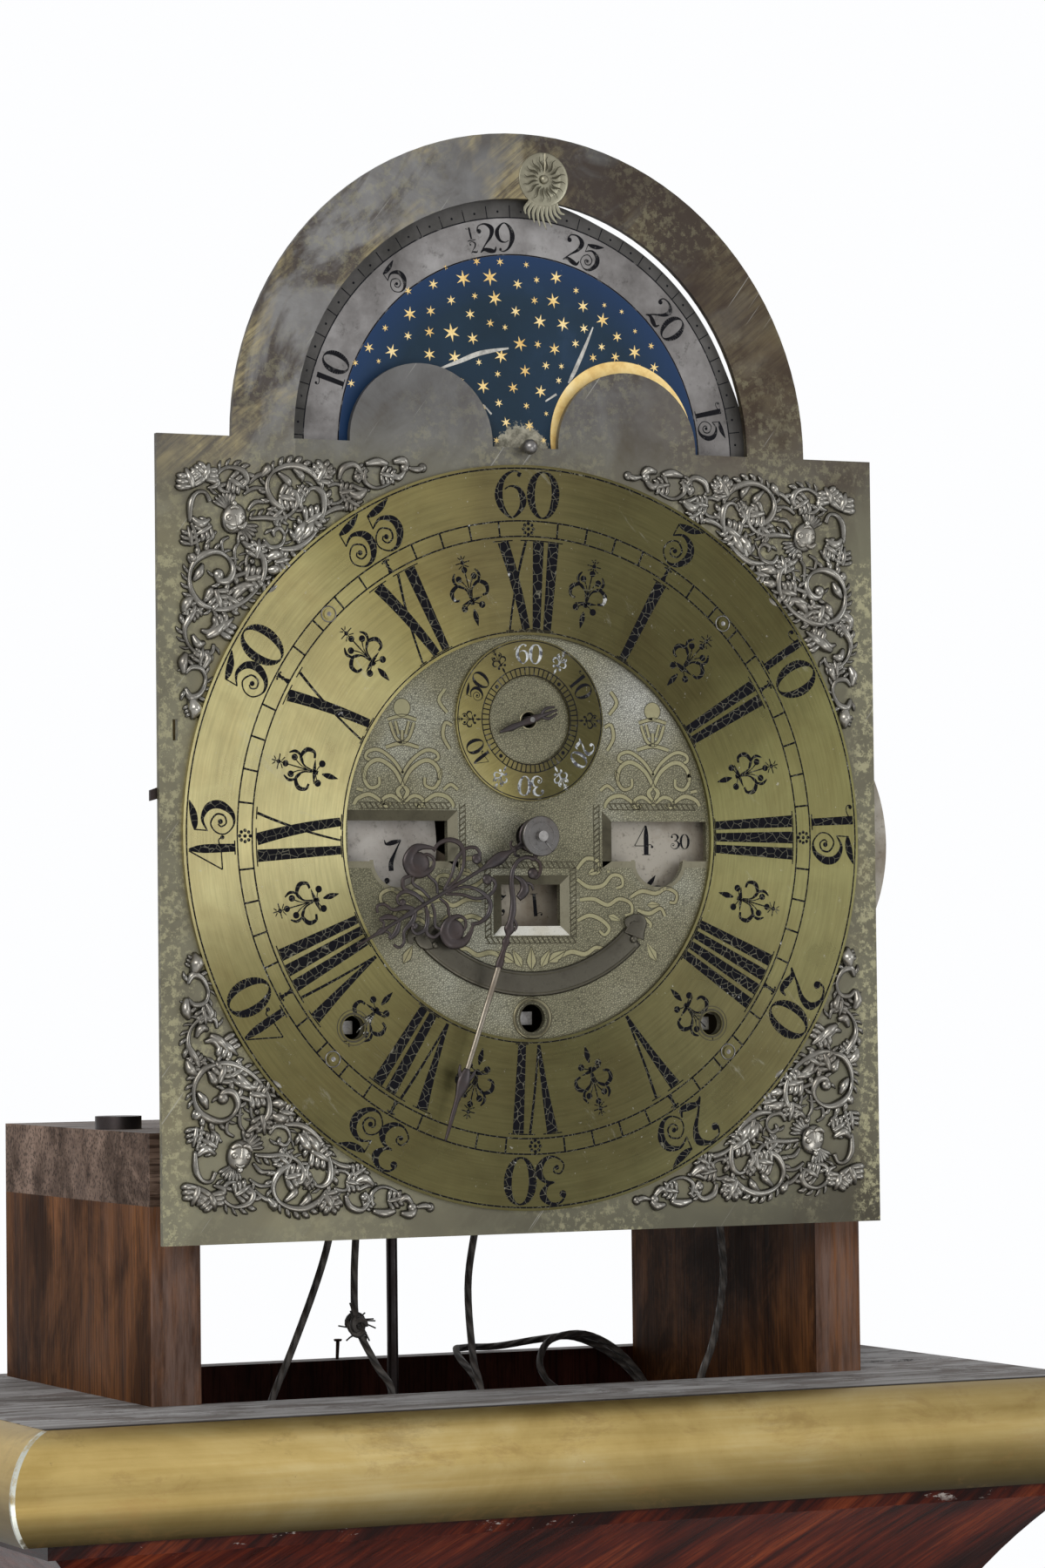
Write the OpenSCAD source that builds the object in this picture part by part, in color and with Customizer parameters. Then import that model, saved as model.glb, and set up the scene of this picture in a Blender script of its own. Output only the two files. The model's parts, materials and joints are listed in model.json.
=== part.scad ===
// Longcase clock with an arched moon dial, standing with its hood lifted off.
// The origin is on the floor, midway across and midway from front to back. The dial faces -Y.
// Places on the dial and in the movement are given as [across, up] from the middle of the dial's
// bottom edge, and depths behind the dial's front face are positive.

/* [Case] */
// Width of the trunk over its side boards
trunk_w = 303; // [296:1:312]
// Depth of the trunk from its front face to the back of the backboard
trunk_d = 176; // [174:1:190]
// Thickness of the trunk's side boards, which rise as cheeks beside the dial
side_t = 20; // [18:0.5:22]
// Thickness of the backboard
back_t = 12; // [10:0.5:12]
// Thickness of the trunk's front frame
front_t = 20; // [16:1:21]
// Height of the turned feet
foot_h = 55; // [40:1:70]
// Largest diameter of the turned feet
foot_d = 84; // [70:1:96]
// Height of the plinth's boards
plinth_h = 420; // [400:5:440]
// How far the plinth stands out from the trunk
plinth_over = 54; // [48:1:60]
// Thickness of the plinth's boards
plinth_t = 20; // [16:1:24]
// Height of the floor board above the plinth's lower edge
floor_rise = 20; // [10:1:40]
// Thickness of the floor board
floor_t = 18; // [15:1:22]
// Height of the moulding round the plinth's foot
base_moulding_h = 62; // [50:1:80]
// How far that moulding stands out from the plinth
base_moulding_over = 16; // [12:1:20]
// Height of the moulding between plinth and trunk
waist_h = 60; // [50:1:70]
// Height of the trunk between the waist and the throat mouldings
trunk_clear_h = 914; // [880:2:950]
// Height of the hollow throat moulding
throat_h = 150; // [130:1:170]
// Height of the brass half-round moulding
brass_h = 40; // [36:0.5:44]
// How far the brass moulding stands out from the top board
brass_over = 20; // [16:0.5:22]
// How far the top board reaches out from the trunk, in front and at the sides
top_over = 65; // [60:1:70]
// Thickness of the top board
top_board_t = 18; // [14:1:22]

/* [Door] */
// Height of the door opening's lower edge above the trunk's lower end
door_rise = 105; // [95:1:120]
// Height of the door opening
door_h = 820; // [790:2:850]
// Width of the trunk frame's upright stiles
stile_w = 35; // [30:1:38]
// Gap between the door and its opening
door_gap = 1.5; // [1:0.1:2.5]
// Width of the lip that laps over the frame
door_lip = 9; // [7:0.5:10]
// Thickness of that lip
door_lip_t = 8; // [6:0.5:10]
// Depth of the door's body inside the opening
door_body_t = 12; // [10:0.5:14]
// Radius of the round window in front of the pendulum bob
lenticle_r = 62; // [55:1:68]
// Thickness of the window's glass
glass_t = 3; // [2.5:0.1:4]
// Radius of the hinge knuckles
knuckle_r = 4.5; // [4:0.1:5]
// Radius of the hinge pins
hinge_pin_r = 2; // [1.6:0.1:2.4]
// Length of a hinge
hinge_h = 60; // [50:1:70]

/* [Dial] */
// Width of the dial plate, a twelve inch dial
dial_w = 305; // [303:0.5:307]
// Height of the square part of the dial plate
dial_h = 303; // [302:0.5:304]
// Thickness of the dial plate
dial_t = 2.5; // [2:0.1:3]
// Outer radius of the dial's arch
arch_r = 122.3; // [120:0.1:125]
// How far the dial's front face stands in front of the trunk's front face
dial_ahead = 16; // [15:0.5:17]
// Height of the dial's bottom edge above the top board
dial_lift = 60.5; // [58:0.5:63]
// Height of the hands' centre above the dial's bottom edge
hands_z = 152.4; // [152:0.1:153]
// Outer radius of the chapter ring
ring_r = 143.8; // [142:0.1:145]
// Inner radius of the chapter ring
ring_in_r = 78; // [77.5:0.1:80]
// Thickness of the chapter ring and of the other applied plates
ring_t = 1.6; // [1.2:0.1:1.8]
// Outer radius of the seconds ring
seconds_r = 31.3; // [30:0.1:32]
// Inner radius of the seconds ring
seconds_in_r = 17; // [16:0.1:18]
// Thickness of the spandrel castings
spandrel_t = 4; // [3:0.1:4.5]
// Length of a spandrel along each edge of the dial
spandrel_leg = 100; // [95:1:104]
// Radius of the opening in the arch
moon_opening_r = 97; // [95:0.5:98]
// Radius of the two humps in that opening
hump_r = 30; // [28:0.5:32]
// Distance of each hump's centre from the middle
hump_x = 44; // [43:0.5:46]
// Length of the hour hand
hour_hand_l = 92; // [86:0.5:96]
// Length of the minute hand
minute_hand_l = 123; // [118:0.5:126]
// Thickness of the hands
hand_t = 1.3; // [1:0.1:1.5]

/* [Calendar] */
// Radius of the moon disc
moon_r = 96.5; // [94:0.5:96.5]
// Radius of the weekday disc
weekday_r = 56; // [54:0.5:57]
// Radius of the month disc
month_r = 68; // [66:0.5:68.5]
// Outer radius of the date ring
date_r = 85; // [84:0.5:86]
// Inner radius of the date ring
date_in_r = 64; // [63:0.5:66]
// Thickness of the calendar's discs
disc_t = 1.2; // [1:0.1:1.4]

/* [Movement] */
// Gap between the dial and the front plate
front_gap = 33.5; // [33:0.5:35]
// Gap between the two plates
plate_gap = 65; // [65:0.5:66]
// Thickness of the plates
plate_t = 3; // [2.6:0.1:3.4]
// Width of the plates
plate_w = 220; // [219:0.5:221]
// Height of the plates
plate_h = 210; // [208:1:214]
// Height of the seatboard's underside above the dial's bottom edge
seat_rise = 14; // [12:0.5:14]
// Thickness of the seatboard
seat_t = 27.5; // [25:0.5:27.5]
// Thickness of the wheels
wheel_t = 2; // [1.6:0.1:2.2]
// Radius of the wheels' pivots
pivot_r = 1.5; // [1.2:0.1:1.8]
// Radius of the arbors between the plates
arbor_r = 2.5; // [2.2:0.1:2.8]
// Gap between a pivot and its hole
fit = 0.05; // [0.03:0.01:0.08]
// Radius of the line barrels
barrel_r = 22; // [21:0.1:22]
// Length of the line barrels
barrel_l = 36; // [34:1:38]
// Radius of the bell
bell_r = 48; // [42:1:52]
// Thickness of the bell's wall
bell_t = 2.5; // [2:0.1:3]

/* [Pendulum and weights] */
// Length of the seconds pendulum from its spring to the bob's middle
pendulum_l = 994; // [990:1:998]
// Radius of the pendulum rod
rod_r = 2.3; // [2:0.1:2.6]
// Radius of the bob
bob_r = 60; // [54:1:62]
// Thickness of the bob
bob_t = 26; // [22:1:28]
// Radius of the weights
weight_r = 30; // [27:0.5:31]
// Height of the weights
weight_h = 240; // [220:2:260]
// Radius of the line where it runs round the pulley
pulley_line_r = 20; // [19.5:0.1:20.5]
// Width of the pulley
pulley_w = 8; // [7:0.5:9]
// Radius of the lines
line_r = 1.5; // [1.3:0.1:1.6]

/* [Hidden] */
$fn = 96;

// Case levels and faces
plinth_top = foot_h + plinth_h;
trunk_low = plinth_top + waist_h;
throat_low = trunk_low + trunk_clear_h;
brass_low = throat_low + throat_h;
top_z = brass_low + brass_h;
back_y = (trunk_d + top_over + brass_over) / 2;
back_face_y = back_y - back_t;
front_y = back_y - trunk_d;
trunk_x = trunk_w / 2;
inner_x = trunk_x - side_t;
top_x = trunk_x + top_over;
top_y = front_y - top_over;
plinth_x = trunk_x + plinth_over;
plinth_y = front_y - plinth_over;
floor_z = foot_h + floor_rise + floor_t;

// Dial frame
dial_y = front_y - dial_ahead;
dial_z = top_z + dial_lift;
hands = [0, hands_z];
seconds = [0, hands_z + 45.1];
arch_c = [0, dial_h];
moon_c = [0, dial_h - 1.5];
weekday_c = [-93, 150];
month_c = [93, 150];
date_c = [0, 201];
window_z = 143;
window_h = 15.5;
lobe_r = 10.5;
lobe_x = 55.5;
winding = [[-75.5, 80], [0, 82.5], [77, 79.5]];
winding_hole_r = 4.6;
centre_winding_r = 5.5;
slot = [-147, 188];

// Depths behind the dial's front face
moon_y = dial_t + 1.5;
day_y = dial_t + 3.5;
date_y = dial_t + 6.5;
hour_wheel_y = 13;
cannon_y = 19;
plate_y = dial_t + front_gap;
inside_y = plate_y + plate_t;
back_plate_y = inside_y + plate_gap;
behind_y = back_plate_y + plate_t;
barrel_y = inside_y + 9;
great_y = barrel_y + barrel_l + 4;
centre_wheel_y = inside_y + 21;
third_wheel_y = inside_y + 36;
escape_y = inside_y + 0.8 * plate_gap;
intermediate_y = back_plate_y - 9;
pendulum_y = behind_y + 30;
line_y = barrel_y + barrel_l - 8;

// Hand depths, in front of the dial's face
seconds_hand_y = -3.6;
hour_hand_y = -6;
minute_hand_y = -9.2;

// Wheels: [teeth, module]
great_teeth = [80, 0.9];
intermediate_pinion = [12, 0.9];
intermediate_teeth = [72, 0.8];
centre_pinion = [12, 0.8];
centre_teeth = [80, 0.7];
third_pinion = [10, 0.7];
third_teeth = [60, 0.7];
escape_pinion = [8, 0.7];
cannon_teeth = [20, 1.05];
minute_teeth = [40, 1.05];
minute_pinion = [10, 0.9];
hour_teeth = [60, 0.9];
strike_teeth = [74, 0.9];
escape_r = 18;
escape_teeth = 30;

function pitch_r(g) = g[0] * g[1] / 2;
function apart(a, b) = pitch_r(a) + pitch_r(b);
// Third corner of a triangle with side ra from a and rb from b, on the given side
function meet(a, b, ra, rb, side) =
    let (d = norm(b - a), u = (b - a) / d, along = (ra * ra - rb * rb + d * d) / (2 * d),
         off = side * sqrt(ra * ra - along * along))
    a + along * u + off * [u.y, -u.x];
function heading(a, b) = atan2(b.y - a.y, b.x - a.x);

barrel_c = winding[1];
intermediate_c = meet(barrel_c, hands, apart(great_teeth, intermediate_pinion),
    apart(intermediate_teeth, centre_pinion), 1);
third_c = meet(hands, seconds, apart(centre_teeth, third_pinion), apart(third_teeth, escape_pinion), -1);
minute_c = hands + apart(cannon_teeth, minute_teeth) * [cos(31), sin(31)];
pallet_c = seconds + [0, 26];
hammer_c = [72, 225];

// Basic shapes
module box(x0, x1, y0, y1, z0, z1) {
    translate([x0, y0, z0]) cube([x1 - x0, y1 - y0, z1 - z0]);
}
module on_dial() {
    translate([0, dial_y, dial_z]) children();
}
// A flat shape drawn as [across, up], from depth y0 to depth y1
module slab(y0, y1) {
    translate([0, y1, 0]) rotate([90, 0, 0]) linear_extrude(y1 - y0) children();
}
// A round bar along the depth
module bar(at, y0, y1, r) {
    translate([at.x, y0, at.y]) rotate([-90, 0, 0]) cylinder(h = y1 - y0, r = r);
}
module square_bar(at, y0, y1, w) {
    translate([at.x - w / 2, y0, at.y - w / 2]) cube([w, y1 - y0, w]);
}
module both_sides() {
    children();
    mirror([1, 0, 0]) children();
}

module ring_2d(at, outer, inner) {
    translate(at) difference() {
        circle(r = outer);
        circle(r = inner);
    }
}

// Teeth with straight flanks, thin enough to run free at any phase
module toothed(g, bore, low, high, root, tip) {
    step = 360 / g[0];
    difference() {
        polygon([for (i = [0 : g[0] - 1], c = [[low, -root], [high, -tip], [high, tip], [low, root]])
            (pitch_r(g) + c[0] * g[1]) * [cos((i + c[1]) * step), sin((i + c[1]) * step)]]);
        circle(r = bore);
    }
}
module wheel_2d(g, bore) {
    toothed(g, bore, -1.3, 0.8, 0.25, 0.07);
}
module pinion_2d(g, bore) {
    toothed(g, bore, -1.2, 0.7, 0.23, 0.07);
}
spoke_w = 3.6;
// Wheels and pinions that are fast on an arbor reach a little into it
sunk = 0.2;
fast_r = arbor_r - sunk;
pinion_l = 5;
// A wheel with crossings; a tooth points along the angle phase
module wheel(at, g, y, phase, bore, spokes = 4) {
    rim = pitch_r(g) - 4.5 * g[1];
    hub = bore + 4;
    slab(y, y + wheel_t) translate(at) rotate(phase) {
        wheel_2d(g, rim);
        ring_2d([0, 0], hub, bore);
        for (i = [0 : spokes - 1]) rotate(i * 360 / spokes)
            translate([hub - 0.5, -spoke_w / 2]) square([rim - hub + 1, spoke_w]);
    }
}
// A pinion; a gap points along the angle phase
module pinion(at, g, y, l, phase, bore) {
    slab(y, y + l) translate(at) rotate(phase + 180 / g[0]) pinion_2d(g, bore);
}
// An arbor with its two pivots in the plates
module arbor(at) {
    bar(at, inside_y + 0.4, back_plate_y - 0.4, arbor_r);
    bar(at, plate_y, inside_y + 0.4, pivot_r);
    bar(at, back_plate_y - 0.4, behind_y, pivot_r);
}

// Height of the blocks that cut the mitres, which is more than that of any profile
mitre_h = 400;
// Mitred mouldings: the profile is drawn as [outward, up] from the board's outer edge
module mitred(half_w, edge_y, rear_y, reach, depth) {
    intersection() {
        translate([-half_w - reach, edge_y, 0]) rotate([90, 0, 90])
            linear_extrude(2 * (half_w + reach)) mirror([1, 0]) children();
        translate([0, 0, -1]) linear_extrude(mitre_h) polygon([
            [-half_w - reach, edge_y - reach], [half_w + reach, edge_y - reach],
            [half_w - depth, edge_y + depth], [depth - half_w, edge_y + depth]]);
    }
    both_sides() intersection() {
        translate([half_w, rear_y, 0]) rotate([90, 0, 0])
            linear_extrude(rear_y - edge_y + reach) children();
        translate([0, 0, -1]) linear_extrude(mitre_h) polygon([
            [half_w + reach, edge_y - reach], [half_w + reach, rear_y],
            [half_w - depth, rear_y], [half_w - depth, edge_y + depth]]);
    }
}

// Plinth
module feet() {
    front_foot_y = plinth_y + foot_d / 2;
    rear_foot_y = back_y - foot_d / 2;
    side = plinth_x - foot_d / 2;
    neck = foot_d * 0.3;
    color("#3a1a12") for (x = [-side, side], y = [front_foot_y, rear_foot_y]) translate([x, y, 0])
        rotate_extrude() union() {
            intersection() {
                translate([foot_d / 2 - foot_h * 0.36, foot_h * 0.36]) circle(r = foot_h * 0.36);
                square([foot_d / 2, foot_h]);
            }
            square([foot_d / 2 - foot_h * 0.36, foot_h * 0.72]);
            square([neck, foot_h]);
            translate([0, foot_h - 6]) square([neck + 8, 6]);
        }
}

module plinth_boards() {
    color("#5a2214") {
        box(-plinth_x, plinth_x, plinth_y, plinth_y + plinth_t, foot_h, plinth_top);
        both_sides() box(plinth_x - plinth_t, plinth_x, plinth_y + plinth_t, back_face_y, foot_h, plinth_top);
        box(plinth_t - plinth_x, plinth_x - plinth_t, plinth_y + plinth_t, back_face_y,
            floor_z - floor_t, floor_z);
    }
}

module base_profile() {
    flat = base_moulding_h * 0.55;
    rise = base_moulding_h - flat;
    square([base_moulding_over, flat]);
    difference() {
        translate([0, flat]) square([base_moulding_over - 2, rise]);
        translate([base_moulding_over - 2 + rise * 0.25, base_moulding_h]) circle(r = rise * 0.8);
    }
}
module waist_profile() {
    cove_w = plinth_over - 6;
    cove_h = waist_h - 14;
    r = (cove_w * cove_w + cove_h * cove_h) / (2 * cove_w);
    difference() {
        translate([-plinth_over, 0]) square([plinth_over - 2, waist_h]);
        translate([r - plinth_over, waist_h]) circle(r = r);
        translate([-6, 10]) square([10, waist_h]);
    }
    translate([-12, 0]) square([14, 10]);
}
module plinth_mouldings() {
    color("#4a1c12") {
        translate([0, 0, foot_h]) mitred(plinth_x, plinth_y, back_y, base_moulding_over, 0) base_profile();
        translate([0, 0, plinth_top]) mitred(plinth_x, plinth_y, back_y, 6, plinth_over) waist_profile();
    }
}

// Trunk
cheek_top = dial_z + seat_rise;
module trunk_sides() {
    color("#4b2a1a") both_sides() box(inner_x, trunk_x, front_y, back_face_y, plinth_top, cheek_top);
}

module backboard() {
    color("#4a1a14") {
        box(-trunk_x, trunk_x, back_face_y, back_y, plinth_top, top_z);
        box(-plinth_x, plinth_x, back_face_y, back_y, foot_h, plinth_top);
    }
}

door_x = inner_x - stile_w;
door_low = plinth_top + door_rise;
door_top = door_low + door_h;
frame_top = top_z - top_board_t;
module trunk_front() {
    rear = front_y + front_t;
    color("#6a2415") {
        both_sides() box(door_x, inner_x, front_y, rear, plinth_top, frame_top);
        box(-door_x, door_x, front_y, rear, plinth_top, door_low);
        box(-door_x, door_x, front_y, rear, door_top, frame_top);
    }
}

// The throat's hollow is an arc that meets the trunk upright
fillet_h = 6.5;
fillet_in = 5;
module throat_profile() {
    hollow_w = top_over - fillet_in;
    hollow_h = throat_h - fillet_h;
    r = (hollow_w * hollow_w + hollow_h * hollow_h) / (2 * hollow_w);
    bead = 4;
    difference() {
        translate([-top_over, 0]) square([top_over - fillet_in, throat_h]);
        translate([r - top_over, 0]) circle(r = r);
    }
    translate([-top_over, throat_h - fillet_h]) square([top_over - 1, fillet_h]);
    translate([-top_over, throat_h]) square([top_over, brass_h - top_board_t]);
    intersection() {
        translate([-top_over, bead]) circle(r = bead);
        translate([-top_over, 0]) square(2 * bead);
    }
}
module throat_moulding() {
    color("#6a2415") translate([0, 0, throat_low])
        mitred(top_x, top_y, back_y, 2, top_over) throat_profile();
}

// The half round bulges forward of the top board's edge
module brass_profile() {
    r = brass_h * 0.575;
    intersection() {
        translate([brass_over - r, brass_h - r]) circle(r = r);
        square([brass_over + 1, brass_h]);
    }
}
module brass_moulding() {
    color("#b08d45") translate([0, 0, brass_low])
        mitred(top_x, top_y, back_y, brass_over + 1, 0) brass_profile();
}

module top_board() {
    lap = 2;
    color("#6d6460") {
        box(-inner_x, inner_x, front_y, front_y + lap, frame_top, top_z);
        box(-top_x, top_x, top_y, front_y, frame_top, top_z);
        both_sides() box(trunk_x, top_x, front_y, back_y, frame_top, top_z);
    }
}

// Seatboard with slots where the lines pass through and a notch for the pendulum rod
seat_top = cheek_top + seat_t;
line_tops = [-53, -42, 19.5, 105.5];
line_hole_w = 14;
hole_front = 46;
rod_slot_w = 60;
bolt_x = trunk_x - side_t / 2;
bolt_y = front_y + 60;
bolt_r = 4;
bolt_head_h = 5;
module seatboard() {
    low = cheek_top - 1;
    high = seat_top + 1;
    half = line_hole_w / 2;
    color("#4b3424") difference() {
        box(-trunk_x, trunk_x, front_y, back_face_y, cheek_top, seat_top);
        for (x = line_tops)
            box(x - half, x + half, dial_y + hole_front, dial_y + line_y + 20, low, high);
        for (x = [bolt_x, -bolt_x])
            translate([x, bolt_y, low]) cylinder(h = high - low, r = bolt_r);
        box(-rod_slot_w / 2, rod_slot_w / 2, dial_y + pendulum_y - 8, back_face_y + 1, low, high);
    }
}
module seatboard_bolts() {
    color("#4a4038") both_sides() translate([bolt_x, bolt_y, seat_top]) {
        cylinder(h = bolt_head_h, r = 9);
        translate([0, 0, -seat_t]) cylinder(h = seat_t, r = bolt_r);
    }
}

// Door, lipped over the trunk's frame and hinged on the right
lip_y = front_y - door_lip_t;
door_edge_x = door_x + door_lip;
hinge_x = door_edge_x + knuckle_r + 0.6;
hinge_y = lip_y + 1;
hinge_inset = 90;
hinge_z = [door_low + hinge_inset, door_top - hinge_inset - hinge_h];
bob_z = dial_z + pallet_c.y - pendulum_l;
lenticle_seat = 5;
module trunk_door() {
    body_x = door_x - door_gap;
    before = lip_y - 1;
    behind = front_y + door_body_t + 1;
    color("#6a2415") difference() {
        union() {
            box(-door_edge_x, door_edge_x, lip_y, front_y, door_low - door_lip, door_top + door_lip);
            box(-body_x, body_x, front_y, front_y + door_body_t, door_low + door_gap, door_top - door_gap);
        }
        bar([0, bob_z], before, behind, lenticle_r - lenticle_seat);
        bar([0, bob_z], front_y, behind, lenticle_r);
        bar([keyhole_x, key_z], before, behind, key_hole_r);
    }
}
// Distance of the door's brass bead from its edge, which leaves room for the hinge leaves
bead_in = 14;
module lenticle_glass() {
    color("#c8d8d8", 0.5) bar([0, bob_z], front_y, front_y + glass_t, lenticle_r - 0.2);
}
module door_brass_trim() {
    bead = 4;
    x = door_edge_x - bead_in;
    low = door_low - door_lip + bead_in;
    high = door_top + door_lip - bead_in;
    color("#b08d45") {
        translate([0, lip_y, bob_z]) rotate([90, 0, 0]) rotate_extrude() intersection() {
            translate([lenticle_r + 2, -2]) circle(r = 8);
            translate([lenticle_r - lenticle_seat, 0]) square([14, 8]);
        }
        difference() {
            box(-x, x, lip_y - bead, lip_y, low, high);
            box(bead - x, x - bead, lip_y - bead - 1, lip_y + 1, low + bead, high - bead);
        }
    }
}
knuckle_parts = 5;
module knuckles(first) {
    part_h = hinge_h / knuckle_parts;
    for (z = hinge_z, i = [first : 2 : knuckle_parts - 1])
        translate([hinge_x, hinge_y, z + i * part_h + 0.15]) cylinder(h = part_h - 0.3, r = knuckle_r);
}
module knuckle_bore(extra) {
    for (z = hinge_z) translate([hinge_x, hinge_y, z - 1]) cylinder(h = hinge_h + 2, r = hinge_pin_r + extra);
}
module case_hinge_leaves() {
    part_h = hinge_h / knuckle_parts;
    color("#9c7c3c") {
        difference() {
            union() {
                knuckles(0);
                for (z = hinge_z, i = [0 : 2 : knuckle_parts - 1]) translate([0, 0, z + i * part_h + 0.15]) {
                    box(hinge_x, hinge_x + 2, hinge_y, front_y, 0, part_h - 0.3);
                    box(hinge_x, inner_x - 2, front_y - 1.5, front_y, 0, part_h - 0.3);
                }
            }
            knuckle_bore(0);
        }
        for (z = hinge_z) translate([hinge_x, hinge_y, z]) cylinder(h = hinge_h, r = hinge_pin_r);
    }
}
module door_hinge_leaves() {
    part_h = hinge_h / knuckle_parts;
    color("#9c7c3c") difference() {
        union() {
            knuckles(1);
            for (z = hinge_z, i = [1 : 2 : knuckle_parts - 1]) translate([0, 0, z + i * part_h + 0.15])
                box(door_edge_x - bead_in + 1, hinge_x, lip_y - 1.5, lip_y, 0, part_h - 0.3);
        }
        knuckle_bore(fit);
    }
}
key_rise = 60;
key_z = (door_low + door_top) / 2 + key_rise;
keyhole_x = 28 - door_edge_x;
key_hole_r = 4;
lock_w = 24;
lock_h = 60;
lock_d = 9;
lock_y = front_y + door_body_t;
module door_lock() {
    color("#8c7038") {
        difference() {
            translate([keyhole_x, 0, 0]) box(-6, 6, lip_y - 1, lip_y, key_z - 16, key_z + 16);
            bar([keyhole_x, key_z], lip_y - 2, lip_y + 1, key_hole_r);
        }
        difference() {
            translate([keyhole_x + 4, 0, 0])
                box(-lock_w / 2, lock_w / 2, lock_y, lock_y + lock_d, key_z - lock_h / 2, key_z + lock_h / 2);
            bar([keyhole_x, key_z], lock_y - 1, lock_y + lock_d + 1, key_hole_r);
        }
    }
}
// The key turns in the lock and its bow stands upright at rest
module door_key() {
    shank_r = 2.4;
    bow_r = 11;
    bow_t = 3;
    bow_y = lip_y - 34;
    color("#6a6258") translate([keyhole_x, 0, key_z]) {
        bar([0, 0], bow_y + 6, lock_y + lock_d - 2, shank_r);
        box(-1.2, 1.2, lock_y + 1.5, lock_y + lock_d - 2, 0, 3.8);
        translate([-bow_t / 2, bow_y, 0]) rotate([0, 90, 0]) difference() {
            scale([1.25, 1]) cylinder(h = bow_t, r = bow_r);
            translate([0, 0, -1]) scale([1.25, 1]) cylinder(h = bow_t + 2, r = bow_r - 4);
        }
    }
}

// Movement frame
arbor_places = [hands, seconds, third_c, intermediate_c];
winding_r = 4;
plate_low = seat_top - dial_z;
module plate(y) {
    slab(y, y + plate_t) difference() {
        translate([-plate_w / 2, plate_low]) square([plate_w, plate_h]);
        for (c = arbor_places) translate(c) circle(r = pivot_r + fit);
        for (c = winding) translate(c) circle(r = winding_r + fit);
        for (c = [pallet_c, hammer_c]) translate(c) circle(r = pivot_r + fit);
    }
}
module front_plate() {
    color("#a88a4a") on_dial() plate(plate_y);
}
module back_plate() {
    color("#a88a4a") on_dial() plate(back_plate_y);
}
pillars = [[-38, 49], [38, 49], [-98, 238], [98, 238]];
module movement_pillars() {
    middle = (inside_y + back_plate_y) / 2;
    color("#a88a4a") on_dial() for (c = pillars) {
        bar(c, inside_y, back_plate_y, 5);
        bar(c, middle - 4, middle + 4, 6.5);
    }
}
// The suspension spring bends at the pallets' height: its upper half is held by the cock
spring_t = 0.6;
spring_w = 10;
spring_gap = 0.1;
module back_cock() {
    low = pallet_c.y + 18;
    high = pallet_c.y + 25;
    half = 22;
    arm_w = 6;
    rear = pendulum_y + 4;
    color("#a88a4a") on_dial() {
        for (x = [-half, half - arm_w]) box(x, x + arm_w, behind_y, rear, low, high);
        box(-half, half, rear, rear + 4, low, high);
        box(-arm_w, arm_w, pendulum_y - 5, rear, low, high);
        box(-spring_t / 2, spring_t / 2, pendulum_y - spring_w / 2, pendulum_y + spring_w / 2,
            pallet_c.y + spring_gap, low + 1);
    }
}

dial_feet = [[-100, 62], [100, 62], [-100, 225], [100, 225]];
roller_angles = [25, 155, 245, 295];
roller_r = 3.5;
stud_r = 2.4;
module dial_feet_and_studs() {
    bridge_y = moon_y + disc_t + 1.5;
    bridge_x = 109;
    color("#94803e") on_dial() {
        for (c = dial_feet) bar(c, dial_t, plate_y, 4);
        for (c = [weekday_c, month_c]) bar(c, day_y, plate_y, stud_r);
        bar(minute_c, hour_wheel_y - 1, plate_y, stud_r);
        for (a = roller_angles) translate([date_c.x, 0, date_c.y]) {
            at = (date_r + roller_r + 0.3) * [cos(a), sin(a)];
            bar(at, date_y - 1, plate_y, roller_r);
        }
        box(-bridge_x - 4, bridge_x + 4, bridge_y, bridge_y + 2, moon_c.y - 5, moon_c.y + 5);
        both_sides() bar([bridge_x, moon_c.y], dial_t, bridge_y, 3.5);
        bar(moon_c, moon_y, bridge_y, stud_r);
    }
}

// Dial
module moon_opening() {
    difference() {
        intersection() {
            translate(arch_c) circle(r = moon_opening_r);
            translate([-arch_r, dial_h]) square([2 * arch_r, arch_r]);
        }
        for (x = [-hump_x, hump_x]) translate([x, dial_h + 1]) circle(r = hump_r);
        translate([-hump_x, dial_h - hump_r]) square([2 * hump_x, hump_r]);
    }
}
module side_window() {
    translate([35, window_z]) square([41.5, window_h]);
    translate([lobe_x, window_z + 0.5]) circle(r = lobe_r);
}
date_window = [25, 16];
module dial_plate() {
    color("#8c8258") on_dial() {
        slab(0, dial_t) difference() {
            union() {
                translate([-dial_w / 2, 0]) square([dial_w, dial_h]);
                translate(arch_c) circle(r = arch_r);
            }
            moon_opening();
            side_window();
            mirror([1, 0]) side_window();
            translate([-date_window.x / 2, 118]) square(date_window);
            for (c = winding) translate(c) circle(r = c == winding[1] ? centre_winding_r : winding_hole_r);
            translate(hands) circle(r = 6);
            translate(seconds) circle(r = 3);
            translate(slot) square([2, 8]);
        }
        bar([0, dial_h], -4, 0, 2.2);
    }
}
module chapter_ring() {
    pin_r = 119;
    color("#a5985c") on_dial() {
        slab(-ring_t, 0) difference() {
            ring_2d(hands, ring_r, ring_in_r);
            for (c = [winding[0], winding[2]]) translate(c) circle(r = winding_hole_r);
        }
        for (a = [45 : 90 : 315]) bar(hands + pin_r * [cos(a), sin(a)], -ring_t - 0.6, -ring_t, 2);
    }
}
module seconds_ring() {
    color("#a5985c") on_dial() slab(-1.2, 0) ring_2d(seconds, seconds_r, seconds_in_r);
}
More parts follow.
